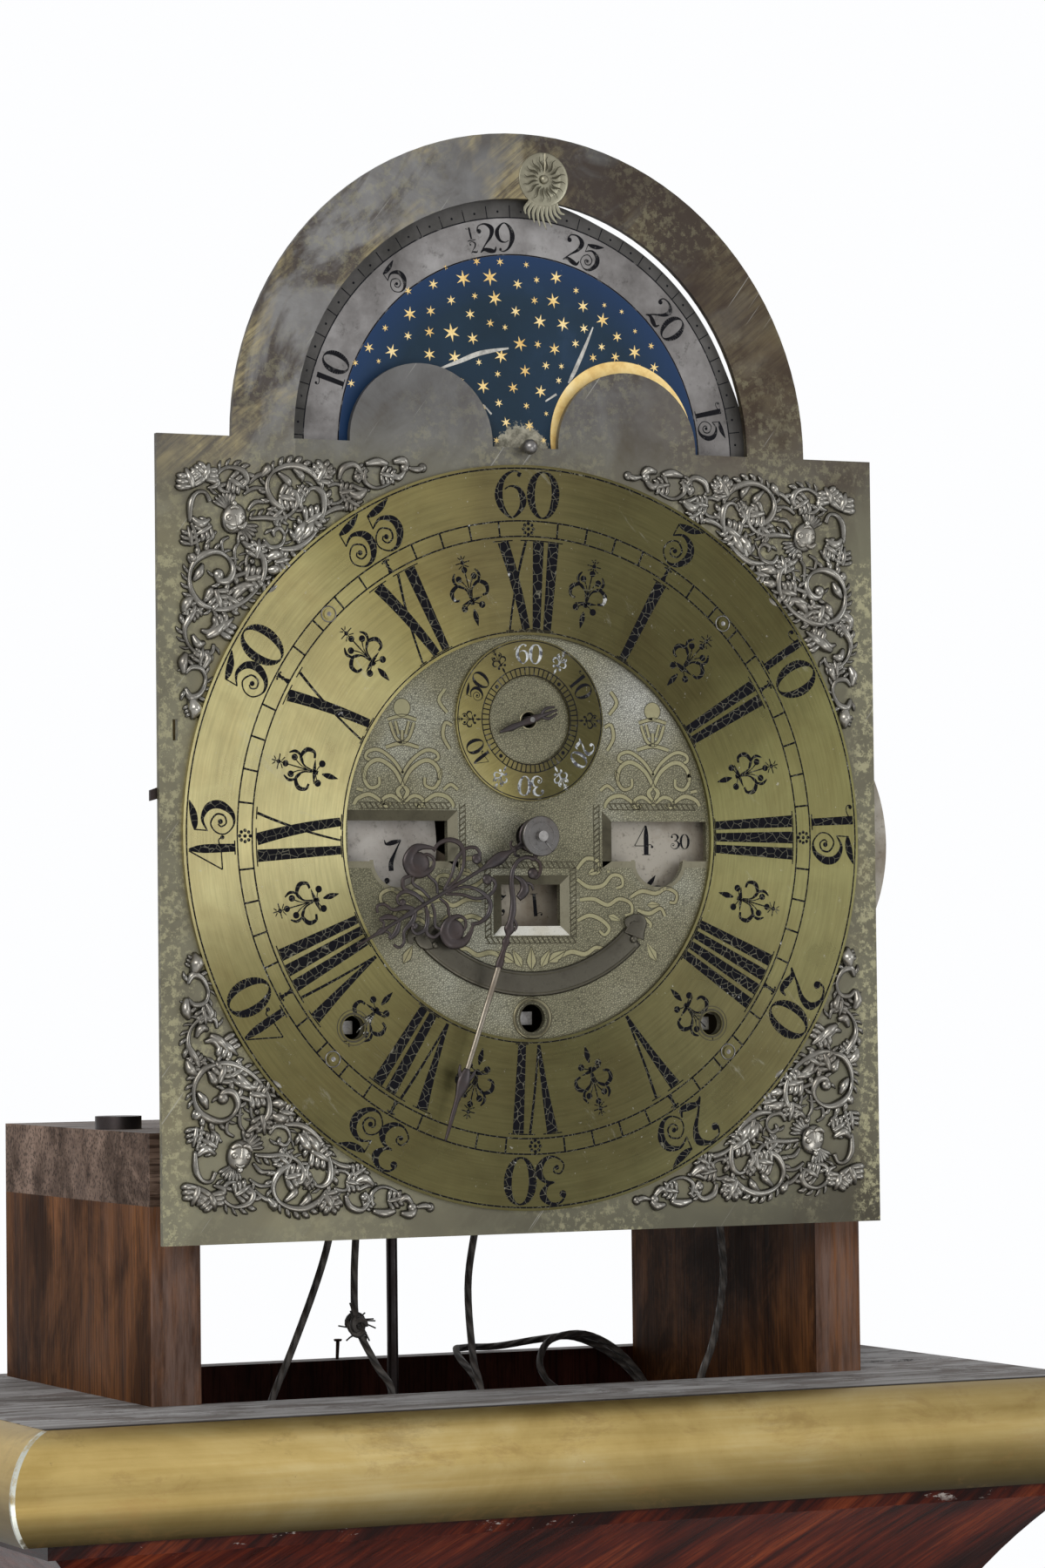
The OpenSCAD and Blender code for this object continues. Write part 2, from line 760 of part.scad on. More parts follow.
module dial_ribbon_and_medallion() {
    ribbon_c = hands + [0, 5.1];
    ribbon_out = ring_in_r - 11.5;
    ribbon_in = ring_in_r - 21;
    half_angle = 48;
    medallion_c = arch_c + [9, 105];
    steps = 12;
    color("#8f7f52") on_dial() {
        slab(-1.4, 0) translate(ribbon_c) polygon(concat(
            [for (i = [-steps : steps]) let (a = i / steps * half_angle) ribbon_out * [sin(a), -cos(a)]],
            [for (i = [-steps : steps]) let (a = i / steps * half_angle) ribbon_in * [-sin(a), -cos(a)]]));
        for (c = [[-41, -46.5], [45, -45]]) bar(ribbon_c + c, -2.4, -1.4, 1.6);
        bar(medallion_c, -1.4, 0, 10.5);
        bar(medallion_c, -3, -1.4, 2.2);
        slab(-1, 0) translate(medallion_c) polygon([[-5, -8], [5, -8], [1.5, -19], [-1.5, -19]]);
    }
}

// A pierced corner casting of linked scrolls. Each scroll is [across, up, radius] from the casting's
// corner, across and up being parts of its legs; its hollow side follows the chapter ring.
scrolls = [
    [0.08, 0.16, 6], [0.17, 0.08, 6.5], [0.11, 0.45, 11.5], [0.29, 0.4, 9], [0.06, 0.63, 7.5],
    [0.04, 0.76, 6.5], [0.05, 0.88, 6], [0.43, 0.1, 10], [0.45, 0.25, 11], [0.32, 0.13, 6],
    [0.58, 0.11, 6.5], [0.69, 0.05, 6], [0.8, 0.05, 6.5], [0.06, 0.3, 6], [0.33, 0.25, 6]
];
scroll_w = 2.6;
module spandrel() {
    edge = 11;
    corner = [dial_w / 2 - edge, edge - 4];
    boss = corner + 0.24 * spandrel_leg * [-1, 1.15];
    low = spandrel_t * 0.6;
    slab(-low, 0) difference() {
        union() {
            for (s = scrolls)
                ring_2d(corner + spandrel_leg * [-s.x, s.y], s.z, s.z - scroll_w);
            translate(boss) circle(r = 9.5);
            translate(corner + spandrel_leg * [-0.88, 0.04]) circle(r = 3);
            translate(corner + spandrel_leg * [-0.04, 0.97]) circle(r = 4);
        }
        translate(hands) circle(r = ring_r + 2.4);
    }
    bar(boss, -spandrel_t, -low, 8);
}
module spandrels() {
    color("#8d857c") on_dial() both_sides() {
        spandrel();
        translate([0, 0, 2 * hands_z]) mirror([0, 0, 1]) spandrel();
    }
}

// Hands, each drawn pointing up and turned to the time shown
hour_angle = 242;
minute_angle = 198.3;
seconds_angle = 250;
module hour_hand_2d() {
    tip = hour_hand_l;
    rosette = 38;
    difference() {
        circle(r = 7.5);
        circle(r = 4.6);
    }
    for (s = [-1, 1]) {
        ring_2d([s * 7, rosette - 8], 8.5, 5.5);
        ring_2d([s * 13, rosette + 8], 8, 5);
        ring_2d([s * 6, rosette + 20], 7, 4.5);
    }
    polygon([[-2, 6.5], [2, 6.5], [1.6, rosette + 28], [-1.6, rosette + 28]]);
    ring_2d([0, rosette + 31], 5, 3);
    polygon([[-1.3, rosette + 35], [1.3, rosette + 35], [2.6, rosette + 43], [0, tip], [-2.6, rosette + 43]]);
}
module minute_hand_2d() {
    tip = minute_hand_l;
    difference() {
        circle(r = 6);
        circle(r = 3);
    }
    polygon([[-1.6, 5], [1.6, 5], [1.2, 24], [-1.2, 24]]);
    ring_2d([2.5, 14], 5.5, 3.2);
    ring_2d([-2, 25], 5, 3);
    polygon([[-1.5, 29], [1.5, 29], [1.1, tip - 24], [-1.1, tip - 24]]);
    polygon([[-1.1, tip - 25], [1.1, tip - 25], [4.5, tip - 22], [2, tip - 10], [0, tip], [-2, tip - 10],
        [-4.5, tip - 22]]);
}
module seconds_hand_2d() {
    difference() {
        circle(r = 3);
        circle(r = 1);
    }
    polygon([[-0.9, 2.5], [0.9, 2.5], [1.6, 8], [0, 14.5], [-1.6, 8]]);
    polygon([[-0.8, -2.5], [-3, -11], [3, -11], [0.8, -2.5]]);
}
module hour_hand() {
    color("#3a3330") on_dial() slab(hour_hand_y, hour_hand_y + hand_t)
        translate(hands) rotate(-hour_angle) hour_hand_2d();
}
module minute_hand() {
    color("#3a3330") on_dial() {
        slab(minute_hand_y, minute_hand_y + hand_t) translate(hands) rotate(-minute_angle) minute_hand_2d();
        difference() {
            bar(hands, minute_hand_y - 1.6, minute_hand_y, 7);
            bar(hands, minute_hand_y - 2, minute_hand_y + 1, 2);
        }
    }
}
module seconds_hand() {
    color("#3a3330") on_dial() slab(seconds_hand_y, seconds_hand_y + 1)
        translate(seconds) rotate(-seconds_angle) seconds_hand_2d();
}

// Going train
centre_bore = 2;
cannon_r = 3;
module centre_wheel() {
    color("#b0924e") on_dial() {
        bar(hands, inside_y + 0.4, back_plate_y - 0.4, arbor_r);
        bar(hands, back_plate_y - 0.4, behind_y, pivot_r);
        bar(hands, cannon_y + wheel_t + 1, inside_y + 0.4, pivot_r);
        bar(hands, minute_hand_y - 3, cannon_y + wheel_t + 1, centre_bore);
        difference() {
            bar(hands, minute_hand_y + hand_t, cannon_y + wheel_t + 1, cannon_r);
            bar(hands, minute_hand_y, cannon_y + wheel_t + 2, centre_bore);
        }
        difference() {
            bar(hands, minute_hand_y, minute_hand_y + hand_t, cannon_r);
            bar(hands, minute_hand_y - 1, minute_hand_y + hand_t + 1, centre_bore);
        }
        wheel(hands, cannon_teeth, cannon_y, heading(hands, minute_c), cannon_r - sunk, 0);
        wheel(hands, centre_teeth, centre_wheel_y, heading(hands, third_c), fast_r);
        pinion(hands, centre_pinion, intermediate_y - 1.5, pinion_l, heading(hands, intermediate_c), fast_r);
    }
}
module hour_wheel() {
    pipe_in = 3.15;
    pipe_out = 4.6;
    color("#b0924e") on_dial() {
        difference() {
            bar(hands, hour_hand_y, hour_wheel_y + wheel_t, pipe_out);
            bar(hands, hour_hand_y - 1, hour_wheel_y + wheel_t + 1, pipe_in);
        }
        wheel(hands, hour_teeth, hour_wheel_y, heading(hands, minute_c), pipe_out - sunk);
    }
}
module minute_wheel() {
    color("#b0924e") on_dial() difference() {
        union() {
            wheel(minute_c, minute_teeth, cannon_y, heading(minute_c, hands) + 180 / minute_teeth[0],
                stud_r + 1 - sunk);
            pinion(minute_c, minute_pinion, hour_wheel_y - 0.5, 3, heading(minute_c, hands), stud_r);
            bar(minute_c, hour_wheel_y + 1, cannon_y + wheel_t, stud_r + 1);
        }
        bar(minute_c, hour_wheel_y - 3, cannon_y + wheel_t + 3, stud_r + fit);
    }
}
module third_wheel() {
    color("#b0924e") on_dial() {
        arbor(third_c);
        wheel(third_c, third_teeth, third_wheel_y, heading(third_c, seconds), fast_r);
        pinion(third_c, third_pinion, centre_wheel_y - 1.5, pinion_l, heading(third_c, hands), fast_r);
    }
}
escape_arbor_r = 2;
module escape_wheel() {
    tooth = 360 / escape_teeth;
    rim_r = escape_r - 4;
    color("#b0924e") on_dial() {
        bar(seconds, inside_y + 0.4, back_plate_y - 0.4, escape_arbor_r);
        bar(seconds, back_plate_y - 0.4, behind_y, pivot_r);
        bar(seconds, seconds_hand_y + 1, inside_y + 0.4, pivot_r);
        bar(seconds, seconds_hand_y, seconds_hand_y + 1, 1);
        pinion(seconds, escape_pinion, third_wheel_y - 1.5, pinion_l, heading(seconds, third_c),
            escape_arbor_r - sunk);
        slab(escape_y, escape_y + wheel_t) translate(seconds) difference() {
            union() {
                circle(r = rim_r);
                for (i = [0 : escape_teeth - 1]) rotate(i * tooth)
                    polygon([[rim_r - 0.5, -1.2], [escape_r, -0.2], [escape_r, 0.2], [rim_r - 0.5, 1.2]]);
            }
            for (i = [0 : 3]) rotate(i * 90) intersection() {
                difference() {
                    circle(r = rim_r - 2.5);
                    circle(r = escape_arbor_r + 2);
                }
                translate([1.2, 1.2]) square(rim_r);
            }
            circle(r = escape_arbor_r - sunk);
        }
    }
}
module intermediate_wheel() {
    color("#b0924e") on_dial() {
        arbor(intermediate_c);
        wheel(intermediate_c, intermediate_teeth, intermediate_y, heading(intermediate_c, hands), fast_r);
        pinion(intermediate_c, intermediate_pinion, great_y - 1.5, pinion_l,
            heading(intermediate_c, barrel_c), fast_r);
    }
}
module great_wheel() {
    color("#b0924e") on_dial()
        wheel(barrel_c, great_teeth, great_y, heading(barrel_c, intermediate_c), winding_r + fit, 5);
}

// Barrels, wound with a crank on the square behind the dial
module barrel(at) {
    flange_t = 2;
    square_w = 5;
    color("#9a8446") on_dial() {
        bar(at, barrel_y, barrel_y + barrel_l, barrel_r);
        bar(at, barrel_y, barrel_y + flange_t, barrel_r + 3);
        bar(at, barrel_y + barrel_l - flange_t, barrel_y + barrel_l, barrel_r + 3);
        bar(at, plate_y - 2, barrel_y, winding_r);
        bar(at, barrel_y + barrel_l, behind_y + 1, winding_r);
        bar(at, day_y + 12, plate_y - 2, square_w * 0.6);
        square_bar(at, dial_t + 3, day_y + 12, square_w);
    }
}
module going_barrel() {
    barrel(winding[1]);
}
module side_barrel(at) {
    barrel(at);
    color("#b0924e") on_dial() wheel(at, strike_teeth, great_y, 90, winding_r - sunk, 5);
}
module strike_barrel() {
    side_barrel(winding[0]);
}
module quarter_barrel() {
    side_barrel(winding[2]);
}

// Pallets with their arbor and crutch
module pallets() {
    tip_gap = 1.4;
    arm = 0.7 * escape_r;
    drop = 22;
    shoulder = 7;
    crutch_l = 62;
    crutch_low = pallet_c.y - crutch_l;
    crutch_y = pendulum_y - 12;
    crutch_t = 2;
    fork_h = 6;
    fork_in = rod_r + 0.3;
    fork_out = fork_in + 2;
    color("#55504a") on_dial() {
        bar(pallet_c, inside_y + 0.4, back_plate_y - 0.4, arbor_r);
        bar(pallet_c, plate_y, inside_y + 0.4, pivot_r);
        bar(pallet_c, back_plate_y - 0.4, crutch_y + crutch_t, pivot_r);
        slab(escape_y, escape_y + wheel_t) difference() {
            translate(pallet_c) polygon([[-arm - 7, -drop], [-arm - 4, -shoulder], [0, 4.5],
                [arm + 4, -shoulder], [arm + 7, -drop], [arm + 4, 2 - drop], [arm + 1, -shoulder - 3],
                [0, -5.5], [-arm - 1, -shoulder - 3], [-arm - 4, 2 - drop]]);
            translate(seconds) circle(r = escape_r + tip_gap);
            translate(pallet_c) circle(r = arbor_r);
        }
        box(-2.5, 2.5, crutch_y, crutch_y + crutch_t, crutch_low, pallet_c.y + 4);
        both_sides() box(fork_in, fork_out, crutch_y, pendulum_y + 5, crutch_low, crutch_low + fork_h);
        box(-fork_out, fork_out, crutch_y, crutch_y + crutch_t, crutch_low, crutch_low + fork_h);
    }
}

// Pendulum: spring, rod, bob and rating nut
module pendulum_rod() {
    bob_c = pallet_c.y - pendulum_l;
    color("#3c3a38") on_dial() {
        box(-spring_t / 2, spring_t / 2, pendulum_y - spring_w / 2, pendulum_y + spring_w / 2,
            pallet_c.y - 14, pallet_c.y - spring_gap);
        translate([0, pendulum_y, bob_c - bob_r - 26]) cylinder(h = pendulum_l + bob_r + 14, r = rod_r);
        translate([0, pendulum_y, bob_c - bob_r - 12]) cylinder(h = 8, r = 9);
    }
}
module pendulum_bob() {
    bulge = (bob_r * bob_r + bob_t * bob_t / 4) / bob_t;
    color("#b08d45") on_dial() translate([0, pendulum_y, pallet_c.y - pendulum_l]) difference() {
        rotate([90, 0, 0]) rotate_extrude() intersection() {
            translate([0, bob_t / 2 - bulge]) circle(r = bulge);
            translate([0, bulge - bob_t / 2]) circle(r = bulge);
            translate([0, -bob_t]) square([bob_r, 2 * bob_t]);
        }
        translate([0, 0, -bob_r - 1]) cylinder(h = 2 * bob_r + 2, r = rod_r);
    }
}

// Bell on its standard, and the two hammers on their arbor
bell_y = inside_y + 36;
bell_rim_z = 262;
module bell() {
    post_r = 3;
    top = bell_rim_z + bell_r;
    foot_t = 4;
    foot_z = plate_low + plate_h;
    color("#b5a878") on_dial() {
        translate([0, bell_y, bell_rim_z]) rotate_extrude() difference() {
            intersection() {
                circle(r = bell_r);
                square(bell_r);
            }
            circle(r = bell_r - bell_t);
            translate([0, bell_r - 2 * bell_t]) square([post_r, 3 * bell_t]);
        }
        translate([0, bell_y, foot_z + foot_t]) cylinder(h = top - foot_z - foot_t + 6, r = post_r);
        translate([0, bell_y, top]) cylinder(h = 5, r = 6);
        box(-8, 8, bell_y - 4, behind_y, foot_z, foot_z + foot_t);
    }
}
module hammers() {
    reach = 42;
    gap = 1.2;
    head_r = 6;
    shank_t = 4;
    head_z = hammer_c.y + reach;
    rise = head_z - bell_rim_z;
    color("#5a554e") on_dial() {
        arbor(hammer_c);
        for (y = [bell_y - 12, bell_y + 8]) {
            middle = y + shank_t / 2;
            edge = sqrt(bell_r * bell_r - rise * rise - (middle - bell_y) * (middle - bell_y));
            box(hammer_c.x - 1.5, hammer_c.x + 1.5, y, y + shank_t, hammer_c.y, head_z);
            translate([edge + gap + 2, middle, head_z]) rotate([0, 90, 0])
                cylinder(h = hammer_c.x + 6 - edge - gap, r = head_r);
        }
    }
}

// Moon and calendar
disc_bore = stud_r + fit;
module disc(at, y, r) {
    on_dial() slab(y, y + disc_t) difference() {
        translate(at) circle(r = r);
        translate(at) circle(r = disc_bore);
    }
}
module moon_disc() {
    color("#20324a") disc(moon_c, moon_y, moon_r);
}
module weekday_disc() {
    color("#9c947e") disc(weekday_c, day_y, weekday_r);
}
module month_disc() {
    color("#9c947e") disc(month_c, day_y, month_r);
}
module date_ring() {
    color("#9c947e") on_dial() slab(date_y, date_y + disc_t) ring_2d(date_c, date_r, date_in_r);
}
// The lever turns on a screw behind the slot and its end shows past the dial's left edge
lever_c = [-128, 176];
module strike_silent_lever() {
    color("#4a4038") on_dial() {
        slab(dial_t + 0.4, dial_t + 1.9) union() {
            translate(lever_c) circle(r = 4);
            translate(lever_c) polygon([[0, -3], [0, 3], [-27, -6.5], [-27, -10.5]]);
        }
        bar(lever_c, dial_t, dial_t + 0.4, 2);
    }
}

// Weights with stirrups, standing on the floor board
weight_y = line_y;
weight_x = [-74, 0, 74];
pulley_z = floor_z - dial_z + weight_h + 45;
axle_r = 2.5;
groove_r = pulley_line_r - line_r - 0.4;
module weight(x) {
    strap = 2.5;
    half = pulley_w / 2 + 0.6;
    low = floor_z - dial_z;
    top = low + weight_h;
    color("#a8884a") on_dial() {
        translate([x, weight_y, low]) cylinder(h = weight_h, r = weight_r);
        box(x - 5, x + 5, weight_y - half - strap, weight_y + half + strap, top, top + 5);
        for (y = [weight_y - half - strap, weight_y + half])
            box(x - 5, x + 5, y, y + strap, top + 5, pulley_z + 8);
        bar([x, pulley_z], weight_y - half, weight_y + half, axle_r);
    }
}
module pulley(x) {
    deep = pulley_line_r - groove_r;
    bore = axle_r + fit;
    color("#a8884a") on_dial()
        translate([x, weight_y, pulley_z]) rotate([90, 0, 0]) rotate_extrude() difference() {
            translate([bore, -pulley_w / 2]) square([pulley_line_r + 1.5 - bore, pulley_w]);
            translate([pulley_line_r, 0]) circle(r = deep);
            translate([pulley_line_r, -deep]) square([9, 2 * deep]);
        }
}
module strike_weight() {
    weight(weight_x[0]);
}
module going_weight() {
    weight(weight_x[1]);
}
module quarter_weight() {
    weight(weight_x[2]);
}
module strike_pulley() {
    pulley(weight_x[0]);
}
module going_pulley() {
    pulley(weight_x[1]);
}
module quarter_pulley() {
    pulley(weight_x[2]);
}

// Lines: each leaves its barrel, hangs slack, runs round the weight's pulley and goes back up.
// Points are [across, depth, up] in the dial's frame.
strike_slack = [[-51, 76, 78], [-51, 76, 45], [-52, 76, 10], [-54, 76, -5], [-60, 76, -23], [-70, 76, -47],
    [-79, 76, -67], [-88, 76, -95], [-93, 76, -130], [-94, 76, -170]];
strike_tie = [[-54, 76, -170], [-48, 76, -130], [-36, 76, -100], [-27, 76, -68], [-34, 76, -54],
    [-42, 76, -38], [-43, 76, -20], [-42, 76, 0], [-42, 76, 14]];
going_slack = [[24, 78, 80], [23, 79, 45], [16, 82, 10], [13, 84, -5], [10, 84, -26], [12, 84, -54],
    [15, 83, -68], [19, 79, -110], [20, 76, -150]];
going_tie = [[-20, 76, -190], [-8, 92, -150], [20, 124, -118], [46, 150, -78], [46, 174, -60], [52, 182, -58],
    [68, 182, -58], [84, 172, -55], [95, 162, -54], [110, 156, -62], [122, 152, -76], [129, 152, -98]];
quarter_slack = [[101, 64, 78], [103, 62, 45], [110, 60, 10], [112, 60, -5], [113, 60, -26], [108, 60, -50],
    [102, 62, -68], [96, 70, -110], [94, 76, -150]];
quarter_tie = [[54, 76, -190], [60, 96, -140], [82, 136, -86], [74, 146, -70], [73, 150, -62], [80, 154, -54],
    [94, 150, -52], [108, 145, -60], [120, 142, -76], [129, 142, -98]];

// The part of a route below the pulley, which comes down on the side given
function round_pulley(x, side) = [for (a = [0 : 20 : 180])
    [x + side * pulley_line_r * cos(a), weight_y, pulley_z - pulley_line_r * sin(a)]];
function route(slack, x, side, tie) = concat(slack, round_pulley(x, side), tie);
// Tube swept along a route: each ring lies across the mean of its two neighbouring stretches
function unit(v) = v / norm(v);
function along(p, i) = unit(
    (i == len(p) - 1 ? [0, 0, 0] : unit(p[i + 1] - p[i])) + (i == 0 ? [0, 0, 0] : unit(p[i] - p[i - 1])));
side_count = 8;
module tube(p, r) {
    rings = [for (i = [0 : len(p) - 1])
        let (t = along(p, i), u = unit(cross(t, [0.02, 1, 0.01])), v = cross(t, u))
        [for (k = [0 : side_count - 1]) let (a = k * 360 / side_count)
            p[i] + r * (cos(a) * u + sin(a) * v)]];
    last = len(p) - 1;
    polyhedron(
        points = [for (ring = rings, q = ring) q],
        faces = concat(
            [[for (k = [0 : side_count - 1]) k]],
            [for (i = [0 : last - 1], k = [0 : side_count - 1]) let (n = (k + 1) % side_count)
                each [[i * side_count + k, (i + 1) * side_count + k, (i + 1) * side_count + n],
                    [i * side_count + k, (i + 1) * side_count + n, i * side_count + n]]],
            [[for (k = [side_count - 1 : -1 : 0]) last * side_count + k]]));
}
module line(slack, x, side, tie) {
    color("#3a3632") on_dial() tube(route(slack, x, side, tie), line_r);
}
module strike_line() {
    line(strike_slack, weight_x[0], -1, strike_tie);
}
module going_line() {
    line(going_slack, weight_x[1], 1, going_tie);
}
module quarter_line() {
    line(quarter_slack, weight_x[2], 1, quarter_tie);
}

feet();
plinth_boards();
plinth_mouldings();
trunk_sides();
backboard();
trunk_front();
throat_moulding();
brass_moulding();
top_board();
seatboard();
seatboard_bolts();
case_hinge_leaves();
trunk_door();
door_brass_trim();
lenticle_glass();
door_hinge_leaves();
door_lock();
door_key();
front_plate();
back_plate();
movement_pillars();
back_cock();
dial_feet_and_studs();
dial_plate();
chapter_ring();
spandrels();
seconds_ring();
dial_ribbon_and_medallion();
bell();
minute_hand();
centre_wheel();
hour_hand();
hour_wheel();
minute_wheel();
seconds_hand();
escape_wheel();
third_wheel();
intermediate_wheel();
great_wheel();
going_barrel();
strike_barrel();
quarter_barrel();
pallets();
pendulum_rod();
pendulum_bob();
hammers();
moon_disc();
weekday_disc();
month_disc();
date_ring();
strike_silent_lever();
strike_weight();
going_weight();
quarter_weight();
strike_pulley();
going_pulley();
quarter_pulley();
strike_line();
going_line();
quarter_line();
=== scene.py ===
# Longcase clock with an arched moon dial, its hood lifted off.
# Lengths are in millimetres in the dial's own frame (across, behind the dial's face, above the dial's
# bottom edge) and row() turns them into the row's metres. Paint is measured in metres.
import json
import math
import random

import bmesh
import bpy
from mathutils import Matrix, Vector


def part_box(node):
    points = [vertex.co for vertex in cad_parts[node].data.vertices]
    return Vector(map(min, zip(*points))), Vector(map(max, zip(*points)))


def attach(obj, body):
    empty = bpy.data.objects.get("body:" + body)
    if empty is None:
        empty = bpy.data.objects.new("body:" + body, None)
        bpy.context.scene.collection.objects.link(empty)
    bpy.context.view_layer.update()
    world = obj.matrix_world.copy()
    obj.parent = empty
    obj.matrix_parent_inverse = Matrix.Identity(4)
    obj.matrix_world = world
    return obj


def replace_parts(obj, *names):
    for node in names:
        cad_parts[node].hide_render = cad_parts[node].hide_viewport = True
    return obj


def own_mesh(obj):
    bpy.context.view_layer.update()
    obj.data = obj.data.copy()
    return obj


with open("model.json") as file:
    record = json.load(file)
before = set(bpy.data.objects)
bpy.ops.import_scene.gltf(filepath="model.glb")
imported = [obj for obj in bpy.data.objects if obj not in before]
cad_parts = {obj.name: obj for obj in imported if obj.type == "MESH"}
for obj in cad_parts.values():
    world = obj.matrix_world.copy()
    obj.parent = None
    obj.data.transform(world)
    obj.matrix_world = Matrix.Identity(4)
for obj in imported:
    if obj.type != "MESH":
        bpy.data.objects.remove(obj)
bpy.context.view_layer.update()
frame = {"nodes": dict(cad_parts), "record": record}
MM = .001

# The dial plate's lower corner on its front face; the plate's box starts at a pin in front of it
PIN_PROUD = 4
DIAL_CORNER = Vector(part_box("dial_plate")[0])
DIAL_CORNER.y += PIN_PROUD * MM
BOARD_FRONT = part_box("top_board")[0][1]

# Places on the dial (across, up)
HANDS_AT = (0, 152.4)
SECONDS_AT = (0, 197.5)
MOON_AT = (0, 301.5)
WEEKDAY_AT = (-93, 150)
MONTH_AT = (93, 150)
DATE_AT = (0, 201)
MEDAL_AT = (9, 408)
# where the painted highlight on the matted centre is brightest
PAINTED_HIGHLIGHT_AT = (46, 205)
WINDING = ((-75.5, 80), (0, 82.5), (77, 79.5))

# Depths behind the dial's face
RING_FACE = -1.6
SECONDS_FACE = -1.2
CENTRE_FACE = -.03
MEDAL_FACE = -1.15
WINDOW_FACE = -.05
MOON_Y = 4
DAY_Y = 6
DATE_Y = 9
HOUR_Y = -6
MINUTE_Y = -9.2
SECONDS_Y = -3.6
FILL = .02  # how far flat filling stands off its ground

# The photograph's camera
CAMERA_AT = Vector((-.7856, -1.7187, 1.7975))
CAMERA_YAW, CAMERA_PITCH, CAMERA_ROLL = (math.radians(a) for a in (25.28, 2.337, -.641))
CAMERA_FOCAL = 109.2
SENSOR_HEIGHT = 36

# Places in the paint, in metres: the dial's matted centre, the moon's opening, the top board's crack
# and the foot of the brass moulding (the last from the dial's bottom edge, mm)
CENTRE_R = .078
OPENING_R = .0965
CRACK_Y = -.012
CRACK_FROM = .13
MOULDING_Z = -100.5


def row(x, y, z):
    """A dial point (mm) in the row's metres."""
    return Vector((x * MM, DIAL_CORNER.y + y * MM, DIAL_CORNER.z + z * MM))


def add_camera():
    """The photograph's camera, as fitted to the dial's circles and edges."""
    data = bpy.data.cameras.new("camera")
    data.sensor_fit = "VERTICAL"
    data.sensor_height = SENSOR_HEIGHT
    data.lens = CAMERA_FOCAL
    level = math.cos(CAMERA_PITCH)
    ahead = Vector((math.sin(CAMERA_YAW) * level, math.cos(CAMERA_YAW) * level, math.sin(CAMERA_PITCH)))
    right = Vector((math.cos(CAMERA_YAW), -math.sin(CAMERA_YAW), 0))
    up = right.cross(ahead)
    c, s = math.cos(CAMERA_ROLL), math.sin(CAMERA_ROLL)
    right, up = c * right + s * up, c * up - s * right
    camera = bpy.data.objects.new("camera", data)
    camera.matrix_world = Matrix.Translation(CAMERA_AT) @ Matrix((right, up, -ahead)).transposed().to_4x4()
    bpy.context.scene.collection.objects.link(camera)
    bpy.context.scene.camera = camera


